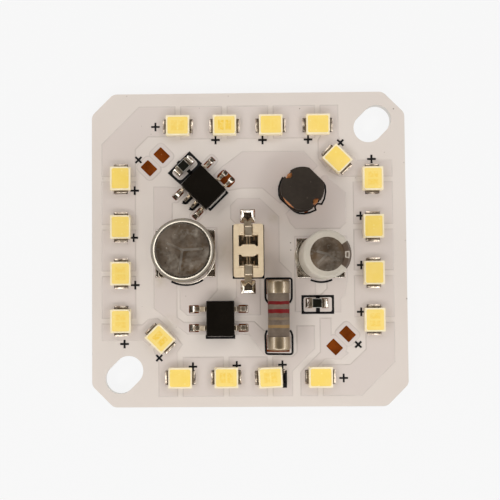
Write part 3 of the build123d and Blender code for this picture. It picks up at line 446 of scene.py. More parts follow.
nylon = Finish("connector_nylon", (0.70, 0.565, 0.385), 0.48)
nylon.cloud((0.63, 0.49, 0.32), 320).vary_roughness(0.58, 600).bump(2600, 0.008)

epoxy = Finish("package_epoxy", (0.0034, 0.0023, 0.0012), 0.5, Specular_IOR_Level=0.06)
epoxy.cloud((0.0062, 0.0044, 0.0026), 300).vary_roughness(0.55, 500).bump(3200, 0.01)

ferrite = Finish("sintered_ferrite", (0.022, 0.0165, 0.0125), 0.5, Specular_IOR_Level=0.12)
ferrite.cloud((0.033, 0.025, 0.019), 350).dust((0.09, 0.07, 0.055), 2200, 0.2, 0.05, 0.4)
ferrite.vary_roughness(0.6, 600).bump(2400, 0.014)

rubber = Finish("seal_rubber", (0.015, 0.015, 0.016), 0.75)
rubber.cloud((0.03, 0.03, 0.032), 500).bump(1800, 0.02)

alumina = Finish("alumina", (0.72, 0.70, 0.66), 0.5)
alumina.cloud((0.60, 0.58, 0.54), 900).bump(2600, 0.006)

glaze = Finish("resistor_glaze", (0.006, 0.006, 0.004), 0.32, Coat_Weight=0.06, Specular_IOR_Level=0.16)
glaze.cloud((0.012, 0.012, 0.008), 900).bump(1600, 0.01)

ink = Finish("black_print", (0.0030, 0.0026, 0.0030), 0.5, Specular_IOR_Level=0.2)
ink.cloud((0.008, 0.007, 0.007), 900).bump(2200, 0.006)

die_face = Finish("led_die", (0.30, 0.33, 0.30), 0.2, 0.4)
die_face.cloud((0.20, 0.24, 0.24), 1500)

# %% [markdown]
# ## Coloured bands and the sleeve's stripe
# The fusible resistor is lacquered grey-brown with rings of colour, and the rings follow
# the rod's length, which here is Y. The small can's sleeve has a dark stripe on its
# negative side with pale dashes, which is a range of bearings round the can's axis.
# %% Banded finishes
ROD_BANDS = (
    # middle, half width, colour, strength
    (-7.40, 0.19, (0.130, 0.0022, 0.0045), 0.97),
    (-8.52, 0.25, (0.145, 0.0020, 0.0045), 0.97),
    (-9.50, 0.13, (0.21, 0.145, 0.085), 0.6),
    (-10.55, 0.17, (0.28, 0.17, 0.065), 0.85),
)
ROD_WOBBLE = 0.30
lacquer = Finish("resistor_lacquer", (0.165, 0.126, 0.095), 0.6, Specular_IOR_Level=0.14)
lacquer.cloud((0.105, 0.078, 0.058), 420)
wobble = lacquer.use(PATCHES, Scale=700.0, Fine=3.0, Low=0.0, High=1.0)
shifted = add_node(lacquer.tree, "ShaderNodeMath", operation="MULTIPLY_ADD")
shifted.inputs[1].default_value = ROD_WOBBLE * MM
link(lacquer.tree, wobble, "Value", shifted, 0)
link(lacquer.tree, lacquer.place(), "Y", shifted, 2)
for middle, half, colour, strength in ROD_BANDS:
    ring = lacquer.band(shifted, 0, (middle + ROD_WOBBLE / 2) * MM, half * MM, edge=0.05 * MM)
    lacquer.paint(ring, "Mask", colour, strength)
lacquer.vary_roughness(0.5, 800).bump(1300, 0.02)

SLEEVE_AXIS = Vector((9.84, -1.19, 0.0)) * MM
STRIPE_BEARING = radians(-2.0)
STRIPE_COLOR = (0.074, 0.048, 0.032)
DASH_AT = 4.95
DASH_PITCH = 1.9
DASH_LAYERS = (
    # half width in degrees and its edge, half length in mm and its edge, colour, strength
    (9, 1.5, 0.26, 0.06, (0.50, 0.45, 0.38), 0.85),
    (6.2, 1.0, 0.12, 0.04, STRIPE_COLOR, 0.9),
)
sleeve_film = Finish(
    "sleeve_film", (0.49, 0.435, 0.36), 0.38, Specular_IOR_Level=0.3, Coat_Weight=0.14, Coat_Roughness=0.12
)
sleeve_film.cloud((0.43, 0.39, 0.325), 300)
around = sleeve_film.use(BEARING, Centre=SLEEVE_AXIS)
stripe = sleeve_film.band(around, "Bearing", STRIPE_BEARING, half=radians(35), edge=radians(1.5))
sleeve_film.paint(stripe, "Mask", STRIPE_COLOR, 0.97)
run = calculate(sleeve_film.tree, "SUBTRACT", (sleeve_film.place(), "Z"), (around, "Reach"))
repeat = calculate(sleeve_film.tree, "WRAP", (run, 0))
repeat.inputs[1].default_value = (DASH_AT + DASH_PITCH / 2) * MM
repeat.inputs[2].default_value = (DASH_AT - DASH_PITCH / 2) * MM
for breadth, breadth_edge, length, length_edge, colour, strength in DASH_LAYERS:
    side = sleeve_film.band(around, "Bearing", STRIPE_BEARING, radians(breadth), radians(breadth_edge))
    stretch = sleeve_film.band(repeat, 0, DASH_AT * MM, length * MM, length_edge * MM)
    sleeve_film.paint(sleeve_film.combine("MULTIPLY", side, stretch), 0, colour, strength)
sleeve_film.vary_roughness(0.42, 500).bump(700, 0.012)
print("rod bands:", len(ROD_BANDS))

# %% [markdown]
# ## Yellow resin over the dies
# The resin is silicone full of phosphor powder. It looks yellow under white light, with a
# slight grain, and under it two dies show as rectangles, clearly in some diodes and hardly
# in others. The resin's UV map holds the place within one diode, and a number that Geometry
# Nodes stores on each copy decides how much its dies show.
# %% Resin finish
LED_SPAN = 4.0
DIE_OFFSET = 0.5
DIE_HALF_WIDTH = 0.36
DIE_HALF_LENGTH = 0.66
DIE_EDGE = 0.06
phosphor = Finish("phosphor_resin", (0.900, 0.660, 0.170), 0.38, Coat_Weight=0.25, Coat_Roughness=0.25)
phosphor.cloud((0.880, 0.630, 0.110), 480, fine=3.0)
copy_number = add_node(phosphor.tree, "ShaderNodeAttribute", attribute_name="copy")
phosphor.paint(copy_number, "Fac", (0.905, 0.695, 0.235), 0.8)
phosphor.dust((0.95, 0.80, 0.38), 2600, 0.3, 0.12, 0.35)
local = add_node(phosphor.tree, "ShaderNodeUVMap", uv_map="UVMap")
local_parts = add_node(phosphor.tree, "ShaderNodeSeparateXYZ")
link(phosphor.tree, local, "UV", local_parts, 0)
die_mask = None
for middle in (-DIE_OFFSET, DIE_OFFSET):
    across = phosphor.band(
        local_parts, "X", 0.5 + middle / LED_SPAN, DIE_HALF_WIDTH / LED_SPAN, DIE_EDGE / LED_SPAN
    )
    along = phosphor.band(local_parts, "Y", 0.5, DIE_HALF_LENGTH / LED_SPAN, DIE_EDGE / LED_SPAN)
    one = phosphor.combine("MULTIPLY", across, along)
    die_mask = one if die_mask is None else phosphor.combine("MAXIMUM", die_mask, one)
shows = add_node(phosphor.tree, "ShaderNodeMapRange", From_Min=0.35, From_Max=1.0, To_Min=0.06, To_Max=1.0)
link(phosphor.tree, copy_number, "Fac", shows, "Value")
grain = phosphor.use(PATCHES, Scale=2600.0, Fine=3.0, Low=0.36, High=0.56)
grained = phosphor.combine("MULTIPLY", phosphor.combine("MULTIPLY", die_mask, shows), grain)
phosphor.paint(grained, 0, (0.86, 0.55, 0.040))
phosphor.vary_roughness(0.5, 900).bump(1500, 0.01)

# %% [markdown]
# ## From CAD faces to soft pieces
# A CAD edge is perfectly sharp, and a real one never is: the small round on it catches the
# light, and the eye reads that as a solid thing. soften() takes a node's faces, joins them
# again where the file had split them, rounds the edges with a Bevel modifier and keeps the
# result as a plain mesh that stands for the node.
# %% Mesh helpers
def joined_mesh(node):
    """The node's faces as one mesh, joined again where the file had split them."""
    mesh = bmesh.new()
    mesh.from_mesh(NODES[node].data)
    bmesh.ops.remove_doubles(mesh, verts=mesh.verts, dist=1e-6)
    return mesh


def merge_flat(mesh):
    """Merges neighbours that lie in one plane."""
    bmesh.ops.dissolve_limit(mesh, angle_limit=radians(0.4), verts=mesh.verts, edges=mesh.edges)
    return mesh


def cad_mesh(node):
    return merge_flat(joined_mesh(node))


def new_piece(name, mesh, finish, rides=True):
    """Turns a bmesh into an object with one finish."""
    data = bpy.data.meshes.new(name)
    mesh.to_mesh(data)
    mesh.free()
    data.materials.append(finish.material)
    piece = bpy.data.objects.new(name, data)
    SCENE.collection.objects.link(piece)
    if rides:
        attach(piece, "root")
    return piece


def bake(piece):
    """Applies the piece's modifiers by meshing what they make."""
    graph = bpy.context.evaluated_depsgraph_get()
    graph.update()
    data = bpy.data.meshes.new_from_object(piece.evaluated_get(graph), depsgraph=graph)
    piece.modifiers.clear()
    data.name = piece.name
    piece.data = data
    return piece


def shade(piece, angle=35):
    """Smooth shading with edges sharper than the angle kept, and normals that favour large faces."""
    piece.data.shade_smooth()
    piece.data.set_sharp_from_angle(angle=radians(angle))
    weigh = piece.modifiers.new("weigh", "WEIGHTED_NORMAL")
    weigh.keep_sharp = True
    bake(piece)


def round_edges(piece, width):
    bevel = piece.modifiers.new("round", "BEVEL")
    bevel.width = width * MM
    bevel.segments = 2
    bevel.limit_method = "ANGLE"
    bevel.angle_limit = radians(40)
    bake(piece)
    shade(piece)


def soften(node, width, finish, slot):
    piece = new_piece(node + "_soft", cad_mesh(node), finish, rides=False)
    round_edges(piece, width)
    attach(piece, "root")
    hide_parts(node)
    return piece


def dress(node, finish):
    """Gives a CAD node its finish and leaves its shape."""
    data = NODES[node].data
    data.materials.clear()
    data.materials.append(finish.material)


SOFTENED = (
    # node, width of the rounded edge, finish, slot
    ("driver_chip_body", 0.07, epoxy, "package_epoxy"),
    ("bridge_body", 0.08, epoxy, "package_epoxy"),
    ("driver_chip_leads", 0.03, tin, "tin_plating"),
    ("bridge_leads", 0.04, tin, "tin_plating"),
    ("connector_housing", 0.05, nylon, "connector_nylon"),
    ("connector_contact_upper", 0.03, spring_tin, "tin_plating"),
    ("connector_contact_lower", 0.03, spring_tin, "tin_plating"),
    ("inductor_core", 0.07, ferrite, "ferrite"),
    ("fuse_resistor_caps", 0.16, cap_tin, "tin_plating"),
    ("sense_resistor_caps", 0.03, tin, "tin_plating"),
    ("bleed_resistor_caps", 0.03, tin, "tin_plating"),
    ("sense_resistor_body", 0.02, alumina, "alumina"),
    ("bleed_resistor_body", 0.02, alumina, "alumina"),
)
for row in SOFTENED:
    soften(*row)
PLAIN = (
    ("aluminium_base", base_metal), ("dielectric_layer", resin_layer), ("copper_circuit", copper),
    ("solder_mask", mask_paint), ("capacitor_1_seal", rubber), ("capacitor_2_seal", rubber),
    ("capacitor_1_leads", tin), ("capacitor_2_leads", tin), ("capacitor_1_element", foil),
    ("capacitor_2_element", foil), ("inductor_terminals", tin), ("sense_resistor_coating", glaze),
    ("bleed_resistor_coating", glaze), ("led_dies", die_face),
)
for node, finish in PLAIN:
    dress(node, finish)
print("softened:", len(SOFTENED), "dressed:", len(PLAIN))

# %% [markdown]
# ## Eighteen diodes from one
# All the diodes are the same part, so one is cut out of the CAD model, rounded, and set on
# eighteen points by Geometry Nodes. Each point carries the turn of its diode. The tree
# stores a random number on every copy, with a fixed seed, which the resin's finish reads.
# %% Seats
TURNS = [182.5, 180, 180, 135, 90, 90, 90, 90, 0, 0, 0, 0, -45, -90, -90, -90, -90, 180]
SEAT_LEVEL = MASK_TOP
SAMPLE = 9
LED_SEED = 2174


def seat_matrix(number):
    low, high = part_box(f"led_{number:02d}_housing")
    middle = (Vector(low) + Vector(high)) / 2
    place = Matrix.Translation(Vector((middle.x, middle.y, SEAT_LEVEL * MM)))
    return place @ Matrix.Rotation(radians(TURNS[number - 1]), 4, "Z")


SEATS = [seat_matrix(number) for number in range(1, len(TURNS) + 1)]


def cut_sample(node, reach=2.4):
    """The faces of a node that belong to the sample diode, in that diode's own frame."""
    mesh = joined_mesh(node)
    bmesh.ops.transform(mesh, matrix=SEATS[SAMPLE - 1].inverted(), verts=mesh.verts)
    far = [v for v in mesh.verts if max(abs(v.co.x), abs(v.co.y)) > reach * MM]
    bmesh.ops.delete(mesh, geom=far, context="VERTS")
    return merge_flat(mesh)


def place_tree():
    tree = bpy.data.node_groups.new("place_on_seats", "GeometryNodeTree")
    sockets = (
        ("Seats", "INPUT", "NodeSocketGeometry"),
        ("Template", "INPUT", "NodeSocketObject"),
        ("Finish", "INPUT", "NodeSocketMaterial"),
        ("Seed", "INPUT", "NodeSocketInt"),
        ("Copies", "OUTPUT", "NodeSocketGeometry"),
    )
    for name, side, kind in sockets:
        tree.interface.new_socket(name=name, in_out=side, socket_type=kind)
    start = add_node(tree, "NodeGroupInput")
    end = add_node(tree, "NodeGroupOutput")
    info = add_node(tree, "GeometryNodeObjectInfo", transform_space="ORIGINAL")
    turn = add_node(tree, "GeometryNodeInputNamedAttribute", data_type="FLOAT", Name="turn")
    angles = add_node(tree, "ShaderNodeCombineXYZ")
    rotation = add_node(tree, "FunctionNodeEulerToRotation")
    copies = add_node(tree, "GeometryNodeInstanceOnPoints")
    chance = add_node(tree, "FunctionNodeRandomValue", data_type="FLOAT")
    store = add_node(
        tree, "GeometryNodeStoreNamedAttribute", data_type="FLOAT", domain="INSTANCE", Name="copy"
    )
    real = add_node(tree, "GeometryNodeRealizeInstances")
    paint = add_node(tree, "GeometryNodeSetMaterial")
    link(tree, start, "Seats", copies, "Points")
    link(tree, start, "Template", info, "Object")
    link(tree, info, "Geometry", copies, "Instance")
    link(tree, turn, "Attribute", angles, "Z")
    link(tree, angles, 0, rotation, 0)
    link(tree, rotation, 0, copies, "Rotation")
    link(tree, copies, "Instances", store, "Geometry")
    link(tree, start, "Seed", chance, "Seed")
    tree.links.new(next(s for s in chance.outputs if s.enabled), store.inputs["Value"])
    link(tree, store, "Geometry", real, "Geometry")
    link(tree, real, "Geometry", paint, "Geometry")
    link(tree, start, "Finish", paint, "Material")
    link(tree, paint, "Geometry", end, "Copies")
    return tree


PLACE_TREE = place_tree()


def set_inputs(modifier, tree, values):
    """Sets a Geometry Nodes modifier's inputs by the identifiers of their named sockets."""
    for item in tree.interface.items_tree:
        if item.in_out == "INPUT" and item.name in values:
            modifier[item.identifier] = values[item.name]


def place_copies(name, template, seats, finish, seed):
    """One mesh of all the copies of a template, set on the seats."""
    points = bpy.data.meshes.new(name)
    points.from_pydata([seat.translation for seat in seats], [], [])
    turn = points.attributes.new("turn", "FLOAT", "POINT")
    turn.data.foreach_set("value", [seat.to_euler().z for seat in seats])
    piece = bpy.data.objects.new(name, points)
    SCENE.collection.objects.link(piece)
    modifier = piece.modifiers.new("place", "NODES")
    modifier.node_group = PLACE_TREE
    set_inputs(modifier, PLACE_TREE, {"Template": template, "Finish": finish.material, "Seed": seed})
    bake(piece)
    shade(piece)
    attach(piece, "root")
    return piece


def sample_template(node, width, finish):
    """The sample diode's share of a node, rounded, with its own place as a UV map."""
    template = new_piece("sample_" + node, cut_sample(node), finish, rides=False)
    if width:
        round_edges(template, width)
    layer = template.data.uv_layers.new(name="UVMap")
    for loop in template.data.loops:
        place = template.data.vertices[loop.vertex_index].co / MM
        layer.data[loop.index].uv = (0.5 + place.x / LED_SPAN, 0.5 + place.y / LED_SPAN)
    return template


HOUSINGS = [f"led_{number:02d}_housing" for number in range(1, len(TURNS) + 1)]
LED_PARTS = (
    # name, node of the sample, width of the rounded edge, finish, slot, nodes that it replaces
    ("led_mouldings", HOUSINGS[SAMPLE - 1], 0.05, led_plastic, "led_housing", HOUSINGS),
    ("led_resin", "led_phosphor", 0.0, phosphor, "led_phosphor", ["led_phosphor"]),
    ("led_plates", "led_terminals", 0.02, silver, "silver_plating", ["led_terminals"]),
    ("led_fillets", "led_solder", 0.04, fillet_solder, "solder_tin", ["led_solder"]),
)
for name, node, width, finish, slot, replaced in LED_PARTS:
    template = sample_template(node, width, finish)
    piece = place_copies(name, template, SEATS, finish, LED_SEED)
    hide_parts(*replaced)
    bpy.data.objects.remove(template)
    print(name, "faces:", len(piece.data.polygons))

# %% [markdown]
# ## Solder
# Molten solder is shaped by its surface: it fills the pad, climbs what it wets and meets
# both in a hollow curve. The CAD solids have its places and heights as straight wedges. A
# voxel remesh and a few smoothing steps melt those wedges into one soft skin.
# %% Melt the solder
def melt(node, name, voxel, steps, finish):
    piece = new_piece(name, cad_mesh(node), finish, rides=False)
    remesh = piece.modifiers.new("voxels", "REMESH")
    remesh.mode = "VOXEL"
    remesh.voxel_size = voxel * MM
    smooth = piece.modifiers.new("settle", "SMOOTH")
    smooth.factor = 0.5
    smooth.iterations = steps
    bake(piece)
    shade(piece, angle=80)
    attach(piece, "root")
    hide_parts(node)
    return piece


melted = melt("component_solder", "melted_solder", voxel=0.048, steps=3, finish=solder)
print("melted solder faces:", len(melted.data.polygons))

# %% [markdown]
# ## The mask drapes over the copper
# Solder mask is printed wet over the etched copper, so at each copper edge it slopes down
# to the bare board. The slope is only a sixth of a millimetre wide, but it catches the
# light as a thin line, and that line is how the circuit shows through the white.
# %% Slopes along the copper
COPPER_TOP = 1.115
MASK_OVERLAP = 0.06
SLOPE_WIDTH = 0.16
# how far the slope's edges lie inside the mask, and the limit on a sharp corner's mitre
HAIR = 0.0005
MITRE_LIMIT = 0.35


def add_corner(mesh, place, level):
    """A corner of a mesh at a flat place and a level, in millimetres."""
    return mesh.verts.new((place.x * MM, place.y * MM, level * MM))


def join_rings(mesh, rings, closed=False):
    """Faces between each ring of corners and the next."""
    following = rings[1:] + rings[:1] if closed else rings[1:]
    for here, there in zip(rings, following):
        for side in range(len(here)):
            after = (side + 1) % len(here)
            mesh.faces.new((here[side], here[after], there[after], there[side]))


def offset_loop(points, distance):
    """The closed outline moved outwards by a distance, with mitred corners."""
    moved = []
    count = len(points)
    for index in range(count):
        before = points[index] - points[index - 1]
        after = points[(index + 1) % count] - points[index]
        first = Vector((before.y, -before.x)).normalized()
        second = Vector((after.y, -after.x)).normalized()
        middle = (first + second).normalized()
        moved.append(points[index] + middle * (distance / max(MITRE_LIMIT, middle.dot(first))))
    return moved


def top_loops(node, level, slack=0.004):
    """The outlines of a node's upward faces at a level, in mm, with the face on the left."""
    mesh = joined_mesh(node)
    upward = [face for face in mesh.faces if face.normal.z > 0.9]
    faces = [face for face in upward if abs(face.calc_center_median().z / MM - level) < slack]
    following = {}
    for face in faces:
        for loop in face.loops:
            others = [f for f in loop.edge.link_faces if f is not face and f in faces]
            if not others:
                following[loop.vert.index] = loop.link_loop_next.vert.index
    mesh.verts.ensure_lookup_table()
    places = {v.index: Vector((v.co.x, v.co.y)) / MM for v in mesh.verts}
    loops = []
    while following:
        start = current = next(iter(following))
        chain = []
        while current in following:
            chain.append(places[current])
            current = following.pop(current)
            if current == start:
                break
        loops.append(chain)
    mesh.free()
    return loops


copper_loops = top_loops("copper_circuit", COPPER_TOP)
slopes = bmesh.new()
for loop in copper_loops:
    upper = offset_loop(loop, MASK_OVERLAP)
    lower = offset_loop(loop, MASK_OVERLAP + SLOPE_WIDTH)
    tops = [add_corner(slopes, place, MASK_TOP - HAIR) for place in upper]
    feet = [add_corner(slopes, place, MASK_LOW + HAIR) for place in lower]
    for index in range(len(loop)):
        ahead = (index + 1) % len(loop)
        slopes.faces.new((tops[index], feet[index], feet[ahead], tops[ahead]))
slope_paint = Finish("mask_on_slope", (0.585, 0.515, 0.468), 0.4, Coat_Weight=0.2, Coat_Roughness=0.25)
slope_paint.cloud((0.52, 0.455, 0.41), 300).bump(1500, 0.004)
new_piece("mask_slopes", slopes, slope_paint)
print("copper outlines:", len(copper_loops))

# %% [markdown]
# ## Printed outlines
# The board's print is a thin layer of black ink. Each outline is a row of points in
# millimetres with a stroke width. stroke() makes a closed ribbon with mitred corners that
# reaches a little into the mask, so it lies on both of the mask's levels.
# %% Print
INK_TOP = MASK_TOP + 0.008
INK_LOW = MASK_LOW - 0.01


def arc(centre, radius, start, end, steps=16):
    angles = [radians(start + (end - start) * step / steps) for step in range(steps + 1)]
    return [(centre[0] + radius * cos(a), centre[1] + radius * sin(a)) for a in angles]


def side_points(points, distance):
    """The points moved to the right of the line by a distance, with mitred corners."""
    places = [Vector(p) for p in points]
    moved = []
    for index, place in enumerate(places):
        before = places[index] - places[index - 1] if index else None
        after = places[index + 1] - place if index + 1 < len(places) else None
        normals = [Vector((d.y, -d.x)).normalized() for d in (before, after) if d is not None]
        middle = sum(normals, Vector((0.0, 0.0))).normalized()
        moved.append(place + middle * (distance / max(MITRE_LIMIT, middle.dot(normals[0]))))
    return moved


def stroke(mesh, points, width):
    """A line of ink with square ends."""
    right = side_points(points, width / 2)
    left = side_points(points, -width / 2)
    rings = []
    for a, b in zip(right, left):
        corners = ((a, INK_LOW), (a, INK_TOP), (b, INK_TOP), (b, INK_LOW))
        rings.append([add_corner(mesh, place, level) for place, level in corners])
    join_rings(mesh, rings)
    mesh.faces.new(rings[0][::-1])
    mesh.faces.new(rings[-1])


def rounded(points, radius, steps=4, closed=True):
    """The corners of an outline replaced by short arcs."""
    places = [Vector(p) for p in points]
    result = []
    for index, corner in enumerate(places):
        if not closed and index in (0, len(places) - 1):
            result.append(tuple(corner))
            continue
        back = (places[index - 1] - corner).normalized()
        ahead = (places[(index + 1) % len(places)] - corner).normalized()
        for step in range(steps + 1):
            share = step / steps
            bend = corner + back * radius * (1 - share) ** 2 + ahead * radius * share ** 2
            result.append(tuple(bend))
    return result


INDUCTOR_OUTLINE = (
    (4.75, 9.81), (4.40, 9.10), (4.17, 8.20), (4.22, 7.30), (4.42, 6.78), (5.11, 6.16), (5.83, 5.48),
    (6.31, 5.06), (6.95, 4.78), (7.67, 4.74), (8.47, 4.92), (9.20, 5.24), (9.10, 5.56), (9.16, 5.90),
    (9.45, 6.10), (10.02, 6.04), (10.39, 6.76), (10.58, 7.75), (10.52, 8.58), (10.25, 9.07),
)
FUSE_ENDS = (
    ((2.58, -7.40), (2.20, -6.90), (2.20, -4.09), (5.82, -4.09), (5.80, -6.95), (5.48, -7.42)),
    ((2.38, -11.15), (2.14, -11.70), (2.20, -14.36), (5.82, -14.42), (5.83, -11.70), (5.52, -11.15)),
)
LINES = [
    # points and stroke width
    # black bar at the end of the crooked diode, drawn with the print
    ([(4.74, -16.60), (4.72, -18.95)], 0.60),
    # driver chip's end, and the two hooks by its unsoldered leads
    ([(-5.44, 5.59), (-5.24, 5.39), (-2.90, 7.70), (-3.10, 7.90)], 0.28),
    (rounded([(-7.70, 7.14), (-8.56, 6.30), (-8.84, 6.32), (-8.86, 6.68)], 0.16, closed=False), 0.33),
    (rounded([(-6.76, 6.26), (-7.62, 5.42), (-7.90, 5.44), (-7.94, 5.76)], 0.16, closed=False), 0.33),
    # tabs between the sense resistor and its frame
    ([(-7.62, 10.22), (-8.28, 10.88)], 0.5),
    ([(-9.66, 12.10), (-9.30, 11.74)], 0.5),
    (INDUCTOR_OUTLINE, 0.24),
    # fusible resistor's two ends
    *((rounded(end, 0.35, closed=False), 0.28) for end in FUSE_ENDS),
    # tabs between the bleed resistor and its frame
    ([(9.34, -6.55), (9.34, -6.98)], 0.52),
    ([(9.34, -8.12), (9.34, -8.85)], 0.52),
    # bridge rectifier
    ([(-5.83, -11.7), (-5.83, -12.13), (-2.10, -12.13), (-2.10, -11.7)], 0.28),
    # capacitors
    (arc((-8.62, -0.62), 4.25, -118, -57), 0.33),
    (arc((9.86, -1.16), 3.48, -115, -65), 0.26),
]
FRAMES = [
    # corners, stroke width and the radius inside the corners
    ([(-8.04, 13.50), (-11.06, 10.50), (-9.34, 8.90), (-6.30, 11.76)], 0.33, 0.5),
    ([(7.10, -6.40), (7.10, -8.97), (11.54, -8.97), (11.54, -6.40)], 0.30, 0.3),
    ([(-2.24, 3.25), (-2.24, -4.11), (2.11, -4.11), (2.11, 3.25)], 0.19, 0.3),
]


def frame_print(mesh, corners, width, radius, steps=5):
    """A closed frame with sharp corners outside and rounded ones inside."""
    outside = [Vector(corner) for corner in corners]
    inside = rounded([tuple(p) for p in offset_loop(outside, -width)], radius, steps)
    rings = []
    for index, inner in enumerate(inside):
        outer = outside[index // (steps + 1)]
        inner = Vector(inner)
        corners_here = ((outer, INK_LOW), (outer, INK_TOP), (inner, INK_TOP), (inner, INK_LOW))
        rings.append([add_corner(mesh, place, level) for place, level in corners_here])
    join_rings(mesh, rings, closed=True)


ink_mesh = bmesh.new()
for points, width in LINES:
    stroke(ink_mesh, points, width)
for corners, width, radius in FRAMES:
    frame_print(ink_mesh, corners, width, radius)
bmesh.ops.remove_doubles(ink_mesh, verts=ink_mesh.verts, dist=1e-7)
bmesh.ops.dissolve_degenerate(ink_mesh, edges=ink_mesh.edges, dist=1e-7)
bmesh.ops.recalc_face_normals(ink_mesh, faces=ink_mesh.faces)
new_piece("print_outlines", ink_mesh, ink)
print("lines:", len(LINES), "frames:", len(FRAMES))

# %% [markdown]
# ## Ridges and painted reflections on the capacitors' pads
# Where the solder of the large can's pads drew up round its leads it froze in thin curved
# ridges. The three arcs round the small can are a painted reflection: they stand in for the
# can mirrored in its pads' solder. Each is a bead along an arc, thickest in its middle, half
# sunk in the pad's solder, and all take a solder finish brighter than the pads', a painted
# highlight.
# %% Ridges
PAD_SOLDER_TOP = 1.235
RIDGES_AND_REFLECTIONS = (
    # centre, radius, start and end bearing, thickness
    ((-5.27, -2.30), 0.56, -105, 18, 0.075),
    ((-11.74, -3.28), 0.64, 158, 278, 0.075),
    # these three stand in for the small can's reflection in its pads' solder, a painted reflection
    ((9.90, -1.15), 3.26, 158, 236, 0.060),
    ((9.90, -1.15), 3.44, 142, 230, 0.070),
    ((9.95, -1.10), 3.66, 152, 212, 0.055),
)


def bead(mesh, points, thickness, level, sides=8):
    """A round ridge along a line that thins out at both ends."""
    rings = []
    for index, (here, beside) in enumerate(zip(points, side_points(points, 1.0))):
        across = (beside - Vector(here)).normalized()
        size = thickness * max(0.2, sin(pi * index / (len(points) - 1)))
        ring = []
        for side in range(sides):
            angle = 2 * pi * side / sides
            place = Vector(here) + across * cos(angle) * size
            ring.append(add_corner(mesh, place, level + sin(angle) * size))
        rings.append(ring)
    join_rings(mesh, rings)
    mesh.faces.new(rings[0])
    mesh.faces.new(rings[-1])


ridge_and_reflection_mesh = bmesh.new()
for centre, radius, start, end, thickness in RIDGES_AND_REFLECTIONS:
    bead(ridge_and_reflection_mesh, arc(centre, radius, start, end, steps=24), thickness, PAD_SOLDER_TOP)
bmesh.ops.recalc_face_normals(ridge_and_reflection_mesh, faces=ridge_and_reflection_mesh.faces)
ridges_and_reflections = new_piece("solder_ridges", ridge_and_reflection_mesh, bright_ridge_solder)
shade(ridges_and_reflections, angle=60)
print("ridges:", len(RIDGES_AND_REFLECTIONS))

# %% [markdown]
# ## Plus marks at the diodes
# Beside each diode's place a small plus shows the positive end. They are all one shape, so the
# Geometry Nodes tree that places the diodes sets them on their points too, four of them turned
# by 45 degrees.
# %% Marks
MARK_ARM = 0.59
MARK_STROKE = 0.265
MARK_SEED = 3
UPRIGHT_MARKS = (
    (-12.71, 16.91), (-4.45, 15.02), (2.01, 14.96), (8.26, 14.97), (-15.61, 8.12), (-15.77, 1.63),
    (-15.57, -4.87), (-17.06, -12.89), (16.91, 12.19), (15.30, 4.40), (15.31, -2.35), (15.21, -8.72),
    (-7.74, -16.03), (-1.78, -15.90), (4.43, -15.84), (12.71, -17.67),
)
TURNED_MARKS = ((-15.07, 12.36), (12.68, 14.48), (-12.32, -14.82), (14.75, -13.16))


def cross_mesh():
    mesh = bmesh.new()
    half = MARK_STROKE / 2
    outline = []
    for quarter in range(4):
        turn = Matrix.Rotation(quarter * pi / 2, 2)
        outline += [turn @ Vector(p) for p in ((half, half), (half, MARK_ARM), (-half, MARK_ARM))]
    low = [add_corner(mesh, place, INK_LOW - SEAT_LEVEL) for place in outline]
    top = [add_corner(mesh, place, INK_TOP - SEAT_LEVEL) for place in outline]
    mesh.faces.new(top)
    mesh.faces.new(low[::-1])
    join_rings(mesh, [low, top])
    return mesh


mark_template = new_piece("mark_template", cross_mesh(), ink, rides=False)
mark_seats = [
    Matrix.Translation(Vector((x, y, SEAT_LEVEL)) * MM) @ Matrix.Rotation(turn, 4, "Z")
    for places, turn in ((UPRIGHT_MARKS, 0.0), (TURNED_MARKS, pi / 4))
    for x, y in places
]
place_copies("print_marks", mark_template, mark_seats, ink, MARK_SEED)
bpy.data.objects.remove(mark_template)
print("marks:", len(mark_seats))

# %% [markdown]
# ## Smooth round metal
# The cans, the sleeve, the capped rod and the winding are round. Their CAD faces are flat
# facets, so each gets a copy with smooth shading, which keeps only the real corners sharp. The
# large can's shoulder also starts further in than in the CAD model, because the ring of light
# on it lies further in.
# %% Round pieces
ROUND = (
    ("capacitor_1_can", can_metal, "can_aluminium"),
    ("capacitor_2_can", can_metal, "can_aluminium"),
    ("capacitor_2_sleeve", sleeve_film, "sleeve_film"),
    ("fuse_resistor_body", lacquer, "resistor_lacquer"),
    ("inductor_winding", wire, "enamelled_wire"),
)
CAD_SHOULDER = 0.5
SEEN_SHOULDER = 0.8
# how far a facet's corner may lie off the shoulder's start and off its round
TOUCHING = 0.003
FACET_SAG = 0.02


def widen_shoulder(mesh):
    """Lets the large can's shoulder start further in, as the ring of light on it shows it does."""
    for vertex in mesh.verts:
        place = vertex.co / MM
        away = place.to_2d() - LARGE_AXIS
        out = away.length - LARGE_RADIUS + CAD_SHOULDER
        up = place.z - CAN_TOPS[0] + CAD_SHOULDER
        if min(out, up) > -TOUCHING and Vector((out, up)).length > CAD_SHOULDER - FACET_SAG:
            reach = LARGE_RADIUS + (out / CAD_SHOULDER - 1.0) * SEEN_SHOULDER
            spot = LARGE_AXIS + away.normalized() * reach
            level = CAN_TOPS[0] + (up / CAD_SHOULDER - 1.0) * SEEN_SHOULDER
            vertex.co = Vector((spot.x, spot.y, min(level, CAN_TOPS[0]))) * MM
    return mesh


for node, finish, slot in ROUND:
    mesh = cad_mesh(node)
    if node == "capacitor_1_can":
        widen_shoulder(mesh)
    piece = new_piece(node + "_smooth", mesh, finish)
    shade(piece, angle=32)
    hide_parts(node)
    print(node, "faces:", len(piece.data.polygons))

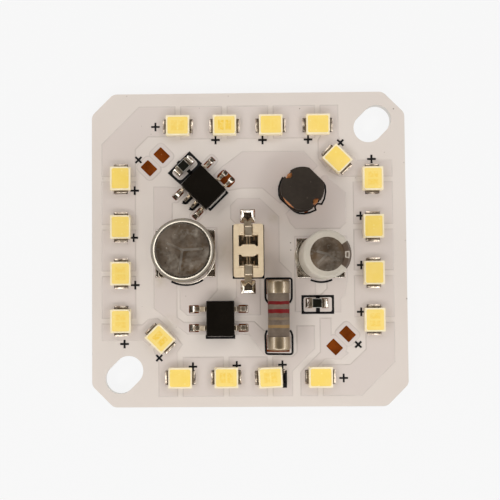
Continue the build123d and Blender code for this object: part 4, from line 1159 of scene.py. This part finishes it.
# %% [markdown]
# ## Studio
# The photograph's metal is dark with thin bright lines: something dark hung straight above
# the board, which must be the camera itself, and the light came in from all round. The same
# is set up here: a dark card above the lens that the camera doesn't see, and eight long soft
# lamps round it, stronger on the near side. The floor and the room look pale to the camera and
# in the metal, but the floor under the connector's opening has no glow.
# %% Floor, card and lamps
def plane(name, size, level, color):
    mesh = bmesh.new()
    half = size / 2
    corners = ((-half, -half), (half, -half), (half, half), (-half, half))
    mesh.faces.new([mesh.verts.new((x, y, level)) for x, y in corners])
    finish = Finish(name, color, 0.9)
    piece = new_piece(name, mesh, finish, rides=False)
    return piece, finish


def pale_rays(tree):
    """1 for the rays that should meet a pale room: the camera's and those off metal or through glass."""
    path = add_node(tree, "ShaderNodeLightPath")
    gloss = calculate(tree, "MAXIMUM", (path, "Is Glossy Ray"), (path, "Is Transmission Ray"))
    return calculate(tree, "MAXIMUM", (path, "Is Camera Ray"), (gloss, 0))


PALE = (0.93, 0.93, 0.93, 1.0)
FLOOR_SHARE = 0.94
floor, floor_finish = plane("floor", size=6.0, level=0.0, color=(0.90, 0.90, 0.90))
floor_tree = floor_finish.tree
glow = add_node(floor_tree, "ShaderNodeEmission", Color=PALE, Strength=1.0)
seen = pale_rays(floor_tree)
away = floor_finish.use(BEARING)
open_floor = add_node(
    floor_tree, "ShaderNodeMapRange", From_Min=6 * MM, From_Max=12 * MM, To_Max=FLOOR_SHARE
)
blend = add_node(floor_tree, "ShaderNodeMixShader")
far_floor = add_node(floor_tree, "ShaderNodeMapRange", From_Min=100 * MM, From_Max=300 * MM)
far_floor.inputs["To Min"].default_value = 1.0
far_floor.inputs["To Max"].default_value = 1.0 / FLOOR_SHARE
link(floor_tree, away, "Reach", open_floor, "Value")
link(floor_tree, away, "Reach", far_floor, "Value")
share = floor_finish.combine("MULTIPLY", floor_finish.combine("MULTIPLY", open_floor, far_floor), seen)
link(floor_tree, share, 0, blend, 0)
link(floor_tree, floor_finish.shader, "BSDF", blend, 1)
link(floor_tree, glow, "Emission", blend, 2)
link(floor_tree, blend, 0, floor_tree.nodes["Material Output"], "Surface")

card = plane("overhead_card", size=0.19, level=0.118, color=(0.060, 0.042, 0.026))[0]
card.visible_camera = False

LAMP_COUNT = 8
LAMP_DISTANCE = 0.30
LAMP_FROM_UPRIGHT = radians(54)
LAMP_LENGTH = 0.235
LAMP_BREADTH = 0.075
LAMP_POWER = 0.20
LAMP_LEAN = 0.28
for number in range(LAMP_COUNT):
    bearing = 2 * pi * number / LAMP_COUNT
    lamp_data = bpy.data.lights.new(f"lamp_{number}", "AREA")
    lamp_data.shape = "RECTANGLE"
    lamp_data.size = LAMP_LENGTH
    lamp_data.size_y = LAMP_BREADTH
    lamp_data.energy = LAMP_POWER * (1.0 - LAMP_LEAN * sin(bearing))
    lamp = bpy.data.objects.new(lamp_data.name, lamp_data)
    direction = Vector((
        sin(LAMP_FROM_UPRIGHT) * cos(bearing),
        sin(LAMP_FROM_UPRIGHT) * sin(bearing),
        cos(LAMP_FROM_UPRIGHT),
    ))
    lamp.location = direction * LAMP_DISTANCE
    lamp.rotation_euler = direction.to_track_quat("Z", "Y").to_euler()
    SCENE.collection.objects.link(lamp)

world = bpy.data.worlds.new("studio")
SCENE.world = world
world.use_nodes = True
sky = world.node_tree
sky_place = add_node(sky, "ShaderNodeTexCoord")
sky_parts = add_node(sky, "ShaderNodeSeparateXYZ")
sky_ramp = add_node(sky, "ShaderNodeMapRange", From_Min=0.1, From_Max=0.75, To_Min=0.45, To_Max=0.08)
sky_back = sky.nodes["Background"]
link(sky, sky_place, "Generated", sky_parts, 0)
link(sky, sky_parts, "Z", sky_ramp, "Value")
sky_color = add_node(sky, "ShaderNodeCombineColor")
for channel in ("Red", "Green", "Blue"):
    link(sky, sky_ramp, "Result", sky_color, channel)
pale_room = add_node(sky, "ShaderNodeMix", data_type="RGBA")
link(sky, pale_rays(sky), 0, pale_room, 0)
link(sky, sky_color, 0, pale_room, 6)
pale_room.inputs[7].default_value = PALE
link(sky, pale_room, 2, sky_back, "Color")
sky_back.inputs["Strength"].default_value = 1.0
SCENE.view_settings.view_transform = "Standard"
print("lamps:", LAMP_COUNT)
